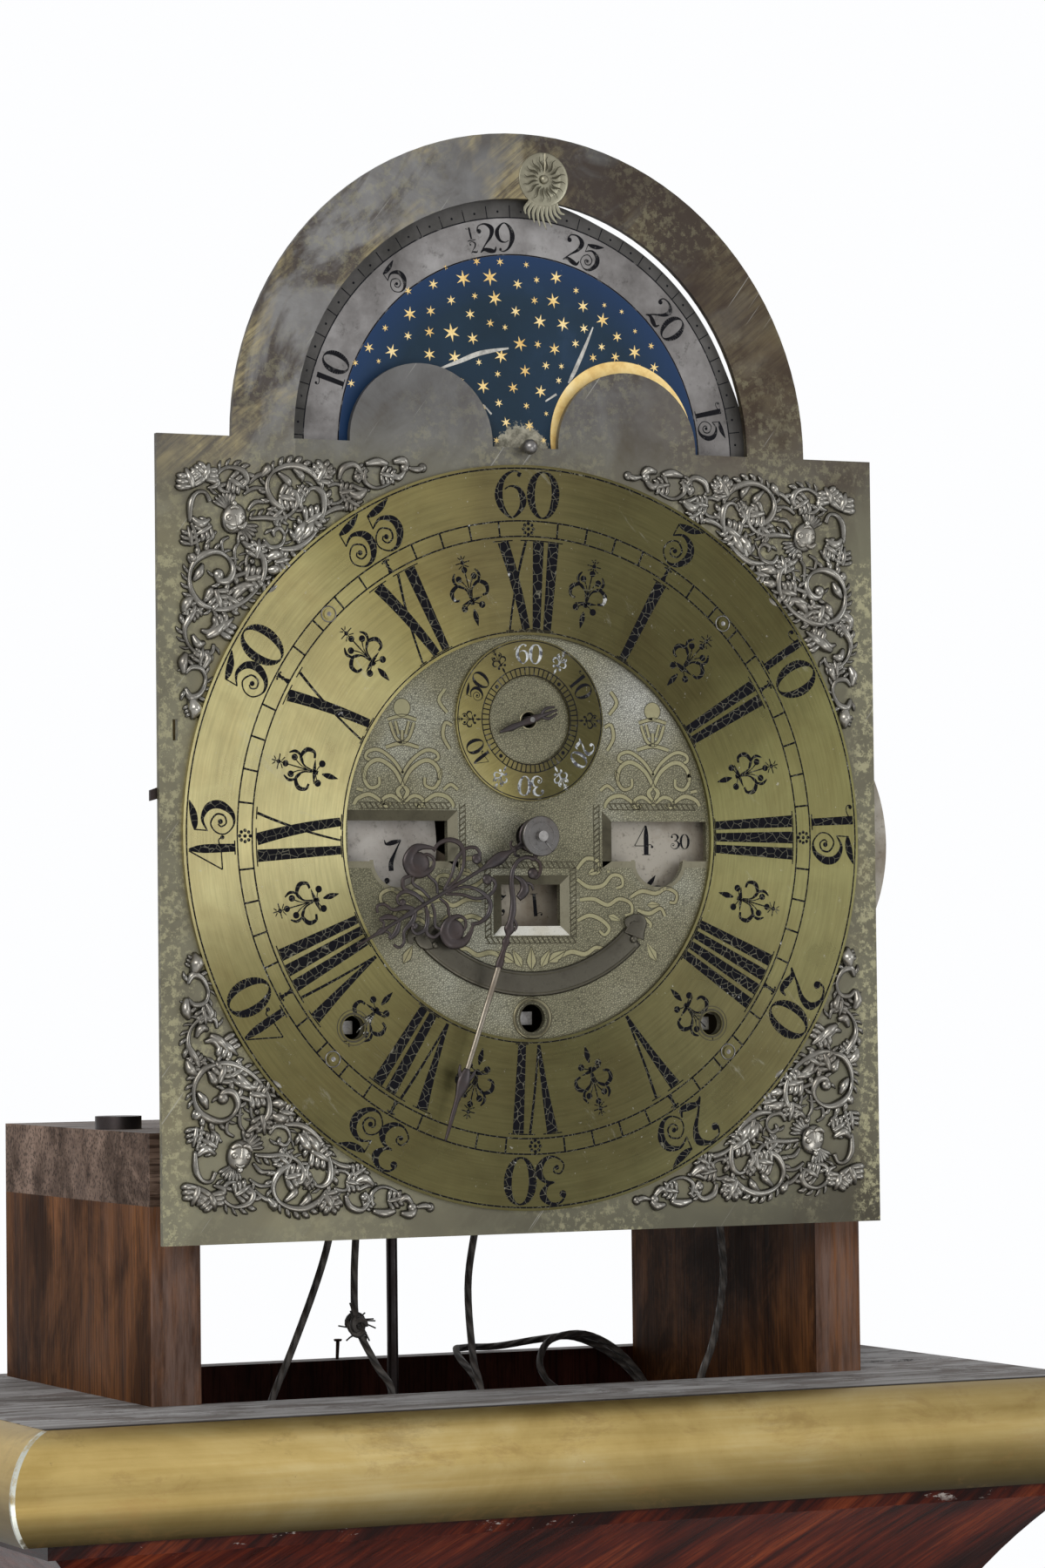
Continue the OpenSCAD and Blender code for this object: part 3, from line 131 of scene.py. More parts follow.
class Paint:
    """A material under construction. Coordinates are the object's own, which are the row's at rest."""

    def __init__(self, name, **sockets):
        self.material = bpy.data.materials.new(name)
        self.material.use_nodes = True
        self.tree = self.material.node_tree
        self.shader = self.tree.nodes["Principled BSDF"]
        self.finish(**sockets)

    def finish(self, **sockets):
        for key, value in sockets.items():
            self.join(self.shader.inputs[key.replace("_", " ")], value)
        return self.material

    def join(self, socket, value):
        if isinstance(value, bpy.types.NodeSocket):
            self.tree.links.new(value, socket)
        elif socket.type == "RGBA" and len(value) == 3:
            socket.default_value = (*value, 1)
        else:
            socket.default_value = value

    def node(self, kind, inputs=(), **props):
        made = self.tree.nodes.new("ShaderNode" + kind)
        for key, value in props.items():
            setattr(made, key, value)
        for key, value in dict(inputs).items():
            self.join(made.inputs[key], value)
        return made

    def calc(self, op, a, b=0, c=0):
        return self.node("Math", {0: a, 1: b, 2: c}, operation=op).outputs[0]

    def times(self, a, b):
        return self.calc("MULTIPLY", a, b)

    def plus(self, a, b):
        return self.calc("ADD", a, b)

    def minus(self, a, b):
        return self.calc("SUBTRACT", a, b)

    def vector(self, op, a, b):
        return self.node("VectorMath", {0: a, 1: b}, operation=op).outputs[0]

    def scaled(self, vector, by):
        return self.node("VectorMath", {0: vector, 3: by}, operation="SCALE").outputs[0]

    def split(self, vector):
        return self.node("SeparateXYZ", {0: vector}).outputs

    def place(self, scale=(1, 1, 1), turn=(0, 0, 0), at=(0, 0, 0)):
        """The point, less at, turned about the axes (degrees) and scaled."""
        point = self.vector("SUBTRACT", self.node("TexCoord").outputs["Object"], at)
        if any(turn):
            point = self.node("Mapping", {0: point, 2: [math.radians(a) for a in turn]}).outputs[0]
        return self.node("Mapping", {0: point, 3: scale}).outputs[0]

    def about(self, centre):
        """Radius (m) and turn (0 at the bottom, clockwise to 1) about a dial point."""
        x, _, z = self.split(self.place(at=row(centre[0], 0, centre[1])))
        r = self.calc("SQRT", self.plus(self.times(x, x), self.times(z, z)))
        return r, self.calc("MULTIPLY_ADD", self.calc("ARCTAN2", x, z), 1 / (2 * math.pi), .5)

    def noise(self, size, detail=4, rough=.55, distort=0, where=None, **place):
        """Cloud noise over where, or else over the place that the rest says."""
        where = self.place(**place) if where is None else where
        return self.node("TexNoise", {"Vector": where, "Scale": size, "Detail": detail, "Roughness": rough,
                                      "Distortion": distort}).outputs["Fac"]

    def warped(self, where, over, size, detail, reach):
        """where, pushed about by a coloured noise over another place."""
        push = self.node("TexNoise", {"Vector": over, "Scale": size, "Detail": detail}).outputs["Color"]
        return self.vector("ADD", where, self.vector("MULTIPLY", push, (reach,) * 3))

    def cell_edges(self, where, size):
        """Distance to the nearest border between cells."""
        cells = self.node("TexVoronoi", {"Vector": where, "Scale": size}, feature="DISTANCE_TO_EDGE")
        return cells.outputs["Distance"]

    def ramp(self, value, low, high, first, last, **props):
        """first up to low, last from high."""
        return self.node("MapRange", {0: value, 1: low, 2: high, 3: first, 4: last}, **props).outputs[0]

    def steps(self, value, *stops):
        """Colours or greys at places along a value."""
        ramp = self.node("ValToRGB", {0: value})
        marks = ramp.color_ramp.elements
        while len(marks) < len(stops):
            marks.new(.5)
        for mark, (place, colour) in zip(marks, stops):
            mark.position = place
            mark.color = (*colour, 1) if isinstance(colour, tuple) else (colour, colour, colour, 1)
        return ramp.outputs[0]

    def cut(self, value, low, high):
        """Black up to low and white from high."""
        return self.steps(value, (low, 0), (high, 1))

    def mask(self, low, high, *noise, **place):
        """Patches where a noise is above low."""
        return self.cut(self.noise(*noise, **place), low, high)

    def blend(self, factor, a, b, how="MIX"):
        mixed = self.node("Mix", data_type="RGBA", blend_type=how, clamp_factor=True)
        for index, value in ((0, factor), (6, a), (7, b)):
            self.join(mixed.inputs[index], value)
        return mixed.outputs[2]

    def over(self, colour, other, mask, amount=None):
        """The other colour over the first, as far as the mask and the amount say."""
        return self.blend(mask if amount is None else self.times(mask, amount), colour, other)

    def tint(self, colour, by):
        return self.blend(1, colour, by, "MULTIPLY")

    def bump(self, height, distance, strength=1):
        return self.node("Bump", {"Height": height, "Distance": distance, "Strength": strength}).outputs[0]


def wood(name, light, dark, grain="z", gloss=.5, dust=0, patches=.5, pores=.5, wear=.3, shine=.2, front=None,
         below=None):
    """Old stained wood. Grain runs along the named axis, dust lies on what faces up, and front is how much
    greyer the face towards -Y has become. Under the height below it is plain and red."""
    along = "xyz".index(grain)
    stretch = lambda s: tuple(s if i == along else 1 for i in range(3))
    p = Paint(name, Specular_IOR_Level=shine)
    warp = p.warped(p.place(stretch(.1)), p.place(stretch(.3)), 9, 3, .03)
    rings = p.steps(p.calc("FRACT", p.times(p.noise(11, 2, .45, where=warp), 6)), (0, .1), (.8, 1), (1, .1))
    streak = p.noise(120, 5, .6, scale=stretch(.06))
    value = p.plus(p.times(rings, .22), p.calc("MULTIPLY_ADD", streak, .8, .02))
    middle = tuple((a + b) * .5 for a, b in zip(light, dark))
    colour = p.steps(value, (.28, dark), (.5, middle), (.74, light))
    cloud = p.noise(17, 6, .66, .5, scale=stretch(.6), at=(3, 1, 2))
    colour = p.over(colour, tuple(c * .35 for c in dark), p.cut(cloud, .44, .58), patches)
    rubbed = p.mask(.54, .66, 28, 7, .72, .5, scale=stretch(.5), at=(0, 2, 5))
    colour = p.over(colour, tuple(min(1, c * 1.5 + .02) for c in light), rubbed, wear)
    fine = p.noise(700, 3, .6, scale=stretch(.05))
    colour = p.over(colour, tuple(c * .3 for c in dark), p.steps(fine, (.4, 1), (.5, 0)), pores)
    scar = p.mask(.69, .72, 130, 6, .78, at=(7, 2, 0))
    colour = p.over(colour, (.34, .28, .24), scar, .7)
    normal = p.split(p.node("NewGeometry").outputs["Normal"])
    if below:
        plain = p.steps(value, (.3, (.03, .006, .003)), (.5, (.085, .015, .007)), (.72, (.17, .038, .015)))
        colour = p.over(colour, plain, p.ramp(p.split(p.place())[2], below - .012, below, 1, 0), .9)
    if front:
        greyed = p.steps(p.noise(260, 6, .7, scale=stretch(.08), at=(0, 0, 3)), (.4, front * .35),
                         (.6, front * 1.15))
        colour = p.over(colour, (.165, .11, .09), p.ramp(normal[1], -.95, -.6, 1, 0), greyed)
    if dust:
        lies = p.times(p.cut(normal[2], .5, .9), p.steps(p.noise(60, 7, .72), (.3, dust * .35), (.62, dust)))
        colour = p.over(colour, (.36, .345, .34), lies)
    rough = p.steps(cloud, (.3, gloss * .8), (.7, min(1, gloss * 1.35)))
    height = p.plus(p.times(fine, .5), p.plus(streak, p.times(scar, -.5)))
    return p.finish(Base_Color=colour, Roughness=rough, Normal=p.bump(height, .0006, .5))


def board_paint():
    """The weathered top board: paler and worn to the front, brown at the back, cracked on the right, with
    painted shade along its front edge where the brass moulding meets it.
    """
    p = Paint("weathered_board", Specular_IOR_Level=.15)
    x, y, _ = p.split(p.place())
    streak = p.noise(150, 5, .65, scale=(.05, 1, 1))
    film = p.noise(26, 7, .72, .5, scale=(.4, 1, 1))
    colour = p.steps(p.plus(p.times(streak, .5), p.times(film, .5)), (.34, (.065, .055, .05)),
                     (.44, (.19, .18, .172)), (.53, (.34, .332, .33)), (.64, (.5, .495, .49)))
    worn = p.mask(.5, .56, 38, 7, .75, .6, scale=(.5, 1, 1), at=(2, 5, 1))
    colour = p.over(colour, (.085, .06, .047), worn, .55)
    colour = p.over(colour, (.03, .025, .022), p.mask(.6, .66, 210, 6, .8, at=(0, 1, 1)), .7)
    colour = p.over(colour, (.62, .6, .58), p.mask(.68, .7, 75, 6, .8, scale=(.5, 1, 1), at=(9, 0, 0)), .8)
    wander = p.calc("MULTIPLY_ADD", p.noise(22, 6, .75), .05, -.025)
    crack = p.calc("ABSOLUTE", p.minus(wander, p.minus(y, CRACK_Y)))
    crack = p.times(p.calc("LESS_THAN", crack, .0009), p.calc("GREATER_THAN", x, CRACK_FROM))
    colour = p.over(colour, (.015, .012, .011), crack)
    pale = p.ramp(y, BOARD_FRONT + .004, BOARD_FRONT + .03, .55, 0)
    colour = p.over(colour, (.42, .415, .41), pale, p.steps(film, (.4, .4), (.6, 1)))
    # painted shade: a dark strip along the board's front edge, against the brass moulding
    colour = p.over(colour, (.02, .015, .012), p.ramp(y, BOARD_FRONT + .002, BOARD_FRONT + .006, .95, 0))
    height = p.plus(p.times(streak, 1.2), p.plus(worn, p.times(crack, -3)))
    return p.finish(Base_Color=colour, Roughness=p.steps(film, (.3, .6), (.7, .9)),
                    Normal=p.bump(height, .0006, .6))


def veneer_paint(name="rosewood_veneer", grain="z", slant=0, tone=1, top=None):
    """Glossy dark red veneer, its figure in slanting ribbons. Just under the height top it is painted dark,
    as shade under the brass moulding, and its edge there is chipped.
    """
    p = Paint(name, Specular_IOR_Level=.1, Coat_Weight=.05, Coat_Roughness=.04)
    figure = {"z": (1, 1, .16), "x": (.16, .16, 1)}[grain]
    turn = (0, slant, 0)
    finer = lambda by: tuple(s * by if s < 1 else s for s in figure)
    shade = lambda *colour: tuple(tone * c for c in colour)
    warp = p.warped(p.place(figure, turn), p.place(figure, turn), 14, 3, .03)
    line = p.noise(330, 4, .65, scale=finer(.4), turn=turn)
    value = p.plus(p.times(p.noise(30, 6, .62, .5, where=warp), .66), p.times(line, .34))
    colour = p.steps(value, (.36, shade(.006, .001, .001)), (.45, shade(.026, .004, .002)),
                     (.53, shade(.085, .011, .004)), (.64, shade(.22, .042, .012)))
    fine = p.noise(1000, 3, .65, scale=finer(.3), turn=turn)
    colour = p.over(colour, (.012, .004, .004), p.steps(fine, (.4, 1), (.5, 0)), .5)
    chips = p.times(p.mask(.69, .72, 150, 6, .8, at=(1, 0, 4)), p.mask(.5, .6, 11, 3, .5))
    colour = p.over(colour, (.42, .36, .33), chips, .75)
    if top:
        z = p.split(p.place())[2]
        # painted shade: a dark band just under the brass moulding
        colour = p.over(colour, (.006, .003, .002), p.ramp(z, top - .0028, top - .0012, 0, 1))
        lost = p.mask(.61, .64, 170, 5, .75, scale=(.3, .3, 1), at=(0, 0, .4))
        lost = p.times(lost, p.ramp(z, top - .0062, top - .0042, 0, 1))
        colour = p.over(colour, (.52, .46, .42), lost, .85)
    rough = p.steps(p.noise(35, 5, .65), (.35, .16), (.7, .34))
    height = p.plus(fine, p.times(p.noise(60, 3, .5, scale=figure, turn=turn), 1.5))
    return p.finish(Base_Color=colour, Roughness=rough, Normal=p.bump(height, .0004, .35))


def brass(name, base, tarnish, rough=.35, amount=.5, scale=18, specks=.3, shine=.9, shade=None, arbor=None):
    """Old brass with tarnish clouds and specks. shade is painted shade in the hollows: it darkens the colour
    by height in front of the dial (mm). arbor is the dial point and the radius (m) of a steel middle."""
    p = Paint(name, Metallic=shine)
    clouds = p.noise(scale, 6, .62, .5)
    colour = p.over(base, tarnish, p.cut(clouds, .4, .66), amount)
    spots = p.mask(.56, .66, scale * 14, 5, .75, at=(1, 2, 3))
    colour = p.over(colour, tuple(c * .35 for c in tarnish), spots, specks)
    if shade:
        low, high, least = shade
        # painted shade: the nearer the dial, the darker
        depth = p.times(p.split(p.place(at=row(0, 0, 0)))[1], -1000)
        colour = p.tint(colour, p.cut(p.ramp(depth, low, high, least, 1), 0, 1))
    if arbor:
        steel = p.steps(p.noise(160, 5, .7), (.35, (.12, .115, .11)), (.6, (.3, .29, .28)))
        colour = p.over(colour, steel, p.calc("LESS_THAN", p.about(arbor[0])[0], arbor[1]))
    roughness = p.steps(clouds, (.35, rough * .8), (.7, min(1, rough * 1.5)))
    scratch = p.noise(900, 2, .5, scale=(1, 1, .06), turn=(0, 24, 0))
    return p.finish(Base_Color=colour, Roughness=roughness, Normal=p.bump(scratch, .00012, .25))


def ring_paint():
    """Brass brushed in circles, with painted highlight: its colour steps round the centre, lighter at the
    left and at three, where the brushing catches the light.
    """
    p = Paint("ring_brass", Metallic=.9, Anisotropic=.55, Roughness=.34)
    r, turn = p.about(HANDS_AT)
    at = p.plus(turn, p.calc("MULTIPLY_ADD", p.noise(16, 4, .55), .09, -.045))
    # painted highlight and shade round the ring: brightest at the left, lighter at three, dark at the bottom
    # and top
    colour = p.steps(at, (0, (.1, .09, .036)), (.1, (.15, .132, .054)), (.17, (.25, .222, .09)),
                     (.25, (.72, .65, .33)), (.33, (.56, .5, .24)), (.41, (.32, .28, .11)),
                     (.48, (.155, .13, .055)), (.55, (.09, .08, .032)), (.64, (.09, .08, .03)),
                     (.71, (.24, .225, .09)), (.77, (.29, .27, .115)), (.85, (.16, .145, .065)),
                     (.93, (.105, .096, .04)), (1, (.1, .09, .036)))
    lines = p.node("CombineXYZ", {0: p.times(r, 900), 1: p.times(turn, 26)}).outputs[0]
    brush = p.noise(1, 4, .7, where=lines)
    colour = p.over(colour, p.tint(colour, p.steps(brush, (.3, .55), (.7, 1))), .55)
    cloud = p.mask(.42, .7, 26, 6, .65, .6, at=(0, 3, 1))
    colour = p.over(colour, p.tint(colour, (.62, .52, .46)), cloud, .45)
    wisps = p.mask(.62, .72, 60, 7, .75, 1.2, scale=(1, 1, .3), turn=(0, 40, 0), at=(2, 0, 0))
    colour = p.over(colour, (.42, .42, .36), wisps, .3)
    colour = p.over(colour, (.55, .54, .5), p.mask(.66, .7, 420, 5, .75, at=(5, 0, 0)), .5)
    return p.finish(Base_Color=colour, Roughness=p.steps(p.noise(40, 4, .6), (.35, .26), (.7, .44)),
                    Normal=p.bump(brush, .00008, .35),
                    Tangent=p.node("Tangent", direction_type="RADIAL", axis="Y").outputs[0])


def dial_paint():
    """Tarnished plate: steel-grey with brown stains in the arch, olive below, matted inside the ring. Light
    is painted in: lighter at the left, darker at the right, with a painted highlight beside the seconds ring.
    """
    p = Paint("dial_plate_brass", Metallic=.75)
    x, _, z = p.split(p.place(at=row(0, 0, 0)))
    cloud = p.noise(11, 6, .6, .8, scale=(1, 1, .8))
    arch = p.ramp(p.plus(z, p.calc("MULTIPLY_ADD", cloud, .06, -.03)), .27, .325, 0, 1,
                  interpolation_type="SMOOTHSTEP")
    rim = p.calc("GREATER_THAN", p.about(MOON_AT)[0], OPENING_R)
    arch_rim = p.times(arch, rim)
    # the two ground colours: olive under the arch, lighter at its left foot, and grey in the arch
    low = p.steps(cloud, (.3, (.12, .105, .066)), (.45, (.15, .14, .098)), (.58, (.185, .175, .12)),
                  (.75, (.24, .215, .13)))
    mottle = p.plus(p.times(cloud, .62), p.times(p.noise(34, 7, .7, .7, at=(3, 0, 1)), .38))
    high = p.steps(mottle, (.33, (.04, .03, .024)), (.42, (.072, .06, .05)), (.5, (.115, .111, .107)),
                   (.6, (.16, .158, .155)), (.72, (.24, .215, .15)))
    # painted light falling from the left: the arch's grey is lighter at the left and darker at the right, and
    # the ground below is darker at its right strip; it is also darker along the bottom edge but at the left
    gain = p.calc("MULTIPLY_ADD", p.ramp(x, -.07, .05, .55, -.32), rim, 1)
    foot = p.calc("MULTIPLY_ADD", p.ramp(z, .004, .036, -.42, 0), p.ramp(x, -.08, 0, 0, 1), 1)
    foot = p.times(foot, p.ramp(x, .05, .14, 1, .78))
    colour = p.over(p.scaled(low, foot), p.scaled(high, gain), arch)
    # brown at the arch's right, rusty stains, and greenish spots that crowd along the sides
    brown = p.calc("MULTIPLY_ADD", p.mask(.42, .6, 15, 5, .62, .8, at=(3, 3, 0)), .35, .65)
    rust = p.steps(mottle, (.4, (.035, .024, .016)), (.52, (.07, .048, .028)), (.64, (.095, .075, .038)))
    colour = p.over(colour, rust, p.times(p.ramp(x, .02, .11, 0, 1), arch), brown)
    stain = p.mask(.455, .53, 15, 6, .62, 1.2, scale=(1, 1, .6), turn=(0, -50, 0), at=(2, 1.1, .05))
    colour = p.over(colour, (.04, .026, .018), stain, p.calc("MULTIPLY_ADD", arch_rim, .6, .18))
    zone = p.times(p.mask(.47, .6, 13, 4, .6, at=(6, 1, 3)), p.calc("MULTIPLY_ADD", arch, -.28, .55))
    edge = p.times(p.ramp(p.calc("ABSOLUTE", x), .139, .146, 0, .8), p.calc("LESS_THAN", z, .262))
    spots = p.times(p.mask(.5, .58, 330, 5, .75, at=(0, 4, 0)), p.calc("MAXIMUM", zone, edge))
    colour = p.over(colour, (.33, .31, .19), spots)
    # polish left in slanting strokes on the arch, and hairlines
    cuts = p.noise(620, 5, .75, .3, scale=(1, 1, .06), turn=(0, -50, 0))
    gold = p.mask(.5, .6, 19, 5, .65, .9, scale=(1, 1, .5), turn=(0, -50, 0), at=(1, 7, 2.02))
    gold = p.times(gold, p.times(arch_rim, p.ramp(x, -.02, .05, 1, .12)))
    colour = p.over(colour, (.43, .36, .19), p.times(gold, p.steps(cuts, (.38, .12), (.56, 1))), .85)
    hair = p.mask(.7, .73, 700, 2, .5, scale=(1, 1, .02), turn=(0, -37, 0), at=(0, 0, 4))
    colour = p.over(colour, (.4, .39, .36), hair, .5)
    # the matted centre, punched all over, with a painted highlight beside the seconds ring
    inside = p.ramp(p.about(HANDS_AT)[0], CENTRE_R - .0004, CENTRE_R + .0004, 1, 0)
    punch = p.cell_edges(p.place(), 1180)
    matt = p.steps(p.noise(17, 4, .5, .4, at=(4, 4, 0)), (.3, (.17, .16, .1)), (.5, (.25, .235, .155)),
                   (.66, (.34, .335, .26)))
    matt = p.over(matt, (.62, .63, .6), p.ramp(p.about(PAINTED_HIGHLIGHT_AT)[0], 0, .026, .6, 0))
    matt = p.tint(matt, p.steps(punch, (0, .3), (.1, .6), (.28, 1)))
    colour = p.over(colour, matt, inside)
    rough = p.over(p.steps(cloud, (.3, .36), (.7, .52)), (.45, .45, .45), inside)
    height = p.plus(p.times(p.cut(punch, 0, .3), inside), p.times(cuts, .25))
    return p.finish(Base_Color=colour, Roughness=rough, Normal=p.bump(height, .0002, .5))


def moulding_paint():
    """Satin sheet brass, evenly dull, with fine lengthwise drawing, stains and a few white dents. Light is
    painted in: shade along its foot, a highlight band high on its round, lighter at the left, darker at the
    right, and a highlight along each mitre.
    """
    p = Paint("sheet_brass", Metallic=.92)
    drawn = p.noise(420, 4, .6, scale=(.03, .03, 1))
    cloud = p.noise(20, 6, .65, .5, scale=(.6, .6, 1))
    colour = p.steps(p.plus(p.times(cloud, .75), p.times(drawn, .25)), (.36, (.56, .395, .13)),
                     (.5, (.7, .515, .195)), (.64, (.82, .655, .31)))
    # painted light by height: dark at the foot, a highlight band near the top
    z = p.split(p.place(at=row(0, 0, MOULDING_Z)))[2]
    up = p.ramp(z, 0, .04, 0, 1)
    colour = p.tint(colour, p.steps(up, (0, .12), (.12, .24), (.4, .5), (.66, .9), (.85, 1), (1, .72)))
    x, y, _ = p.split(p.place())
    # painted light: lighter at the left, darker at the right
    colour = p.tint(colour, p.steps(p.ramp(x, -.2, .24, 0, 1), (0, 1), (.45, .82), (1, .54)))
    low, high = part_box("brass_moulding")
    mitre = p.calc("ABSOLUTE", p.minus(p.minus(high[0], p.calc("ABSOLUTE", x)), p.minus(y, low[1])))
    haze = p.mask(.54, .66, 60, 6, .75, .4, scale=(.5, .5, 1), at=(5, 5, 0))
    colour = p.over(colour, (.24, .14, .05), haze, .35)
    colour = p.over(colour, (.14, .085, .04), p.mask(.66, .7, 240, 6, .8, at=(1, 2, 3)), .5)
    dents = p.mask(.715, .735, 88, 7, .82, at=(4, 1, 2))
    colour = p.over(colour, (.82, .8, .74), dents)
    broken = p.steps(p.noise(120, 4, .7), (.38, .15), (.5, 1))
    # painted highlight: a broken pale line along each mitre
    colour = p.over(colour, (.7, .72, .64), p.calc("LESS_THAN", mitre, .0016), broken)
    rough = p.minus(p.steps(cloud, (.35, .38), (.7, .47)), p.times(dents, .2))
    height = p.plus(p.times(drawn, .35), p.plus(p.noise(24, 2, .5), dents))
    return p.finish(Base_Color=colour, Roughness=rough, Normal=p.bump(height, .0005, .3))


def moon_paint():
    """Silvered figure ring round a blue painted field, scratched, with a worn middle."""
    p = Paint("moon_disc_paint", Specular_IOR_Level=.2)
    r, _ = p.about(MOON_AT)
    field = p.ramp(r, .0768, .0772, 1, 0)
    cloud = p.noise(40, 6, .65)
    silver = p.steps(cloud, (.3, (.12, .112, .108)), (.48, (.21, .2, .195)), (.7, (.34, .33, .325)))
    silver = p.over(silver, (.06, .055, .05), p.mask(.56, .66, 120, 7, .8, at=(1, 0, 0)), .6)
    # the silvered ring is darker towards the right
    darker_right = p.ramp(p.split(p.place(at=row(MOON_AT[0], 0, MOON_AT[1])))[0], 0, .08, 0, .5)
    silver = p.over(silver, p.tint(silver, (.5, .48, .46)), darker_right)
    track = p.steps(cloud, (.3, (.045, .043, .04)), (.7, (.11, .105, .1)))
    silver = p.over(silver, track, p.ramp(r, .0914, .0918, 0, 1))
    blue = p.steps(p.noise(22, 5, .6, at=(0, 0, 2)), (.3, (.006, .018, .03)), (.6, (.009, .026, .048)),
                   (.8, (.018, .042, .085)))
    blue = p.over(blue, (.01, .034, .105), p.ramp(r, .06, .077, 0, .7))
    loss = p.mask(.66, .72, 130, 7, .8, .8, scale=(1, 1, .35), turn=(0, 28, 0))
    blue = p.over(blue, (.22, .24, .26), loss, .45)
    ragged = p.plus(r, p.calc("MULTIPLY_ADD", p.noise(190, 6, .75), .018, -.009))
    bare = p.steps(p.noise(330, 5, .7), (.35, (.1, .095, .07)), (.62, (.34, .32, .25)))
    blue = p.over(blue, bare, p.ramp(ragged, .011, .0118, 1, 0))
    metallic = p.calc("MULTIPLY_ADD", field, -.55, .55)
    rough = p.steps(cloud, (.35, .36), (.7, .52))
    return p.finish(Base_Color=p.over(silver, blue, field), Metallic=metallic, Roughness=rough,
                    Normal=p.bump(p.noise(300, 4, .7), .0001, .4))


def gilt_paint():
    p = Paint("gilding", Metallic=.25, Roughness=.35)
    value = p.noise(60, 5, .7)
    colour = p.steps(value, (.3, (.62, .36, .09)), (.5, (.86, .63, .25)), (.7, (.92, .76, .42)))
    return p.finish(Base_Color=colour, Normal=p.bump(value, .0002, .4))


def pale_paint():
    p = Paint("paint_loss", Roughness=.6)
    return p.finish(Base_Color=p.steps(p.noise(320, 5, .7), (.35, (.26, .255, .235)), (.6, (.52, .51, .47))))


def line_paint():
    """Twisted gut: u runs round the line and v along it, in turns of the lay."""
    p = Paint("gut_line", Roughness=.6, Sheen_Weight=.2)
    u, v, _ = p.split(p.node("UVMap").outputs[0])
    twist = p.calc("SINE", p.times(p.plus(p.times(u, 3), v), 2 * math.pi))
    shade = p.steps(p.noise(90, 4, .6), (.35, (.045, .035, .03)), (.7, (.12, .105, .09)))
    # painted shade: the grooves between the strands are darkened
    groove = p.steps(p.calc("MULTIPLY_ADD", twist, .5, .5), (0, .35), (.5, 1))
    return p.finish(Base_Color=p.tint(shade, groove), Normal=p.bump(twist, .0004, .8))


def wax_paint():
    """Black wax with hairline cracks."""
    p = Paint("black_wax", Roughness=.6, Specular_IOR_Level=0)
    where = p.place()
    edge = p.cell_edges(p.warped(where, where, 260, 2, .0012), 330)
    colour = p.over((.009, .009, .011), (.2, .19, .14), p.steps(edge, (0, .8), (.018, .35), (.034, 0)))
    colour = p.over(colour, (.55, .55, .53), p.mask(.64, .68, 70, 6, .75, at=(0, 1, 7)), .8)
    return p.finish(Base_Color=colour, Normal=p.bump(edge, .0001, .2))


def ink_paint():
    """Black figures on silver, rubbed in places."""
    p = Paint("black_ink", Roughness=.5, Specular_IOR_Level=0)
    rub = p.mask(.56, .64, 190, 6, .78, at=(4, 0, 2))
    return p.finish(Base_Color=p.over((.012, .012, .014), (.16, .155, .15), rub, .6))


def chalk_paint():
    """Whitish worn filling, broken by what is left of the black."""
    p = Paint("worn_filling", Roughness=.75)
    return p.finish(Base_Color=p.steps(p.noise(420, 4, .7), (.42, (.05, .05, .06)), (.5, (.3, .32, .33)),
                                       (.66, (.62, .63, .62))))


def glass_paint():
    p = Paint("glass", Transmission_Weight=1, IOR=1.3, Base_Color=(.88, .93, .9))
    return p.finish(Roughness=p.steps(p.noise(22, 4, .6), (.55, 0), (.8, .05)))


# Old metals: brass()'s base, tarnish, roughness, amount of tarnish, size, specks, metallic share and painted
# shade
METALS = {
    # the castings get painted shade, darkest where they meet the dial
    "cast_brass": ((.4, .385, .345), (.13, .108, .08), .25, .55, 60, .35, .95, (-.2, 3.2, .12)),
    "movement_brass": ((.46, .35, .16), (.2, .14, .07)),
    # painted shade: the movement's front plate, behind the dial's winding holes, is painted near black
    "front_plate_brass": ((.035, .027, .015), (.016, .012, .008), .5, .6, 22, .35),
    "silvered_brass": ((.36, .34, .31), (.17, .145, .12), .5, .6, 30, .4, .5),
    "tarnished_disc": ((.3, .275, .23), (.13, .095, .055), .5, .85, 34, .5, .5),
    "tarnished_ring": ((.24, .215, .17), (.12, .085, .05), .5, .85, 34, .5, .5),
    "bell_metal": ((.5, .43, .27), (.26, .2, .1), .22, .4),
    "ribbon_brass": ((.09, .083, .064), (.048, .042, .033), .34, .7, 60),
    "medallion_brass": ((.3, .285, .21), (.16, .14, .1), .38, .6, 60),
    "ground_collars": ((.24, .22, .14), (.1, .085, .05), .35, .6, 70),
    "polished_lines": ((.31, .29, .17), (.21, .185, .11), .35, .6, 60),
    # the next three also paint the window borders: the dark one the shaded heads and left faces besides the
    # engraved lines, sunk faces the half-lit faces, lit faces the painted highlight on the sills
    "cut_lines_and_painted_shade": ((.075, .068, .045), (.045, .04, .028), .5, .6, 60),
    "sunk_faces": ((.2, .185, .13), (.11, .1, .065), .4, .6, 60),
    "lit_faces": ((.62, .61, .55), (.36, .33, .25), .3, .6, 60),
    "dark_steel": ((.056, .05, .051), (.045, .029, .024), .36, .7, 60),
    "hub_steel": ((.15, .145, .14), (.07, .055, .045), .32, .6, 70, .5),
    "shaft_steel": ((.23, .205, .165), (.12, .09, .065), .34, .5, 60, .4),
    "polished_steel": ((.24, .235, .23), (.1, .08, .065), .3, .6, 70, .5),
    "old_iron": ((.07, .05, .04), (.05, .028, .018), .6, .8, 90, .5),
}


def metal(name):
    return brass(name, *METALS[name])


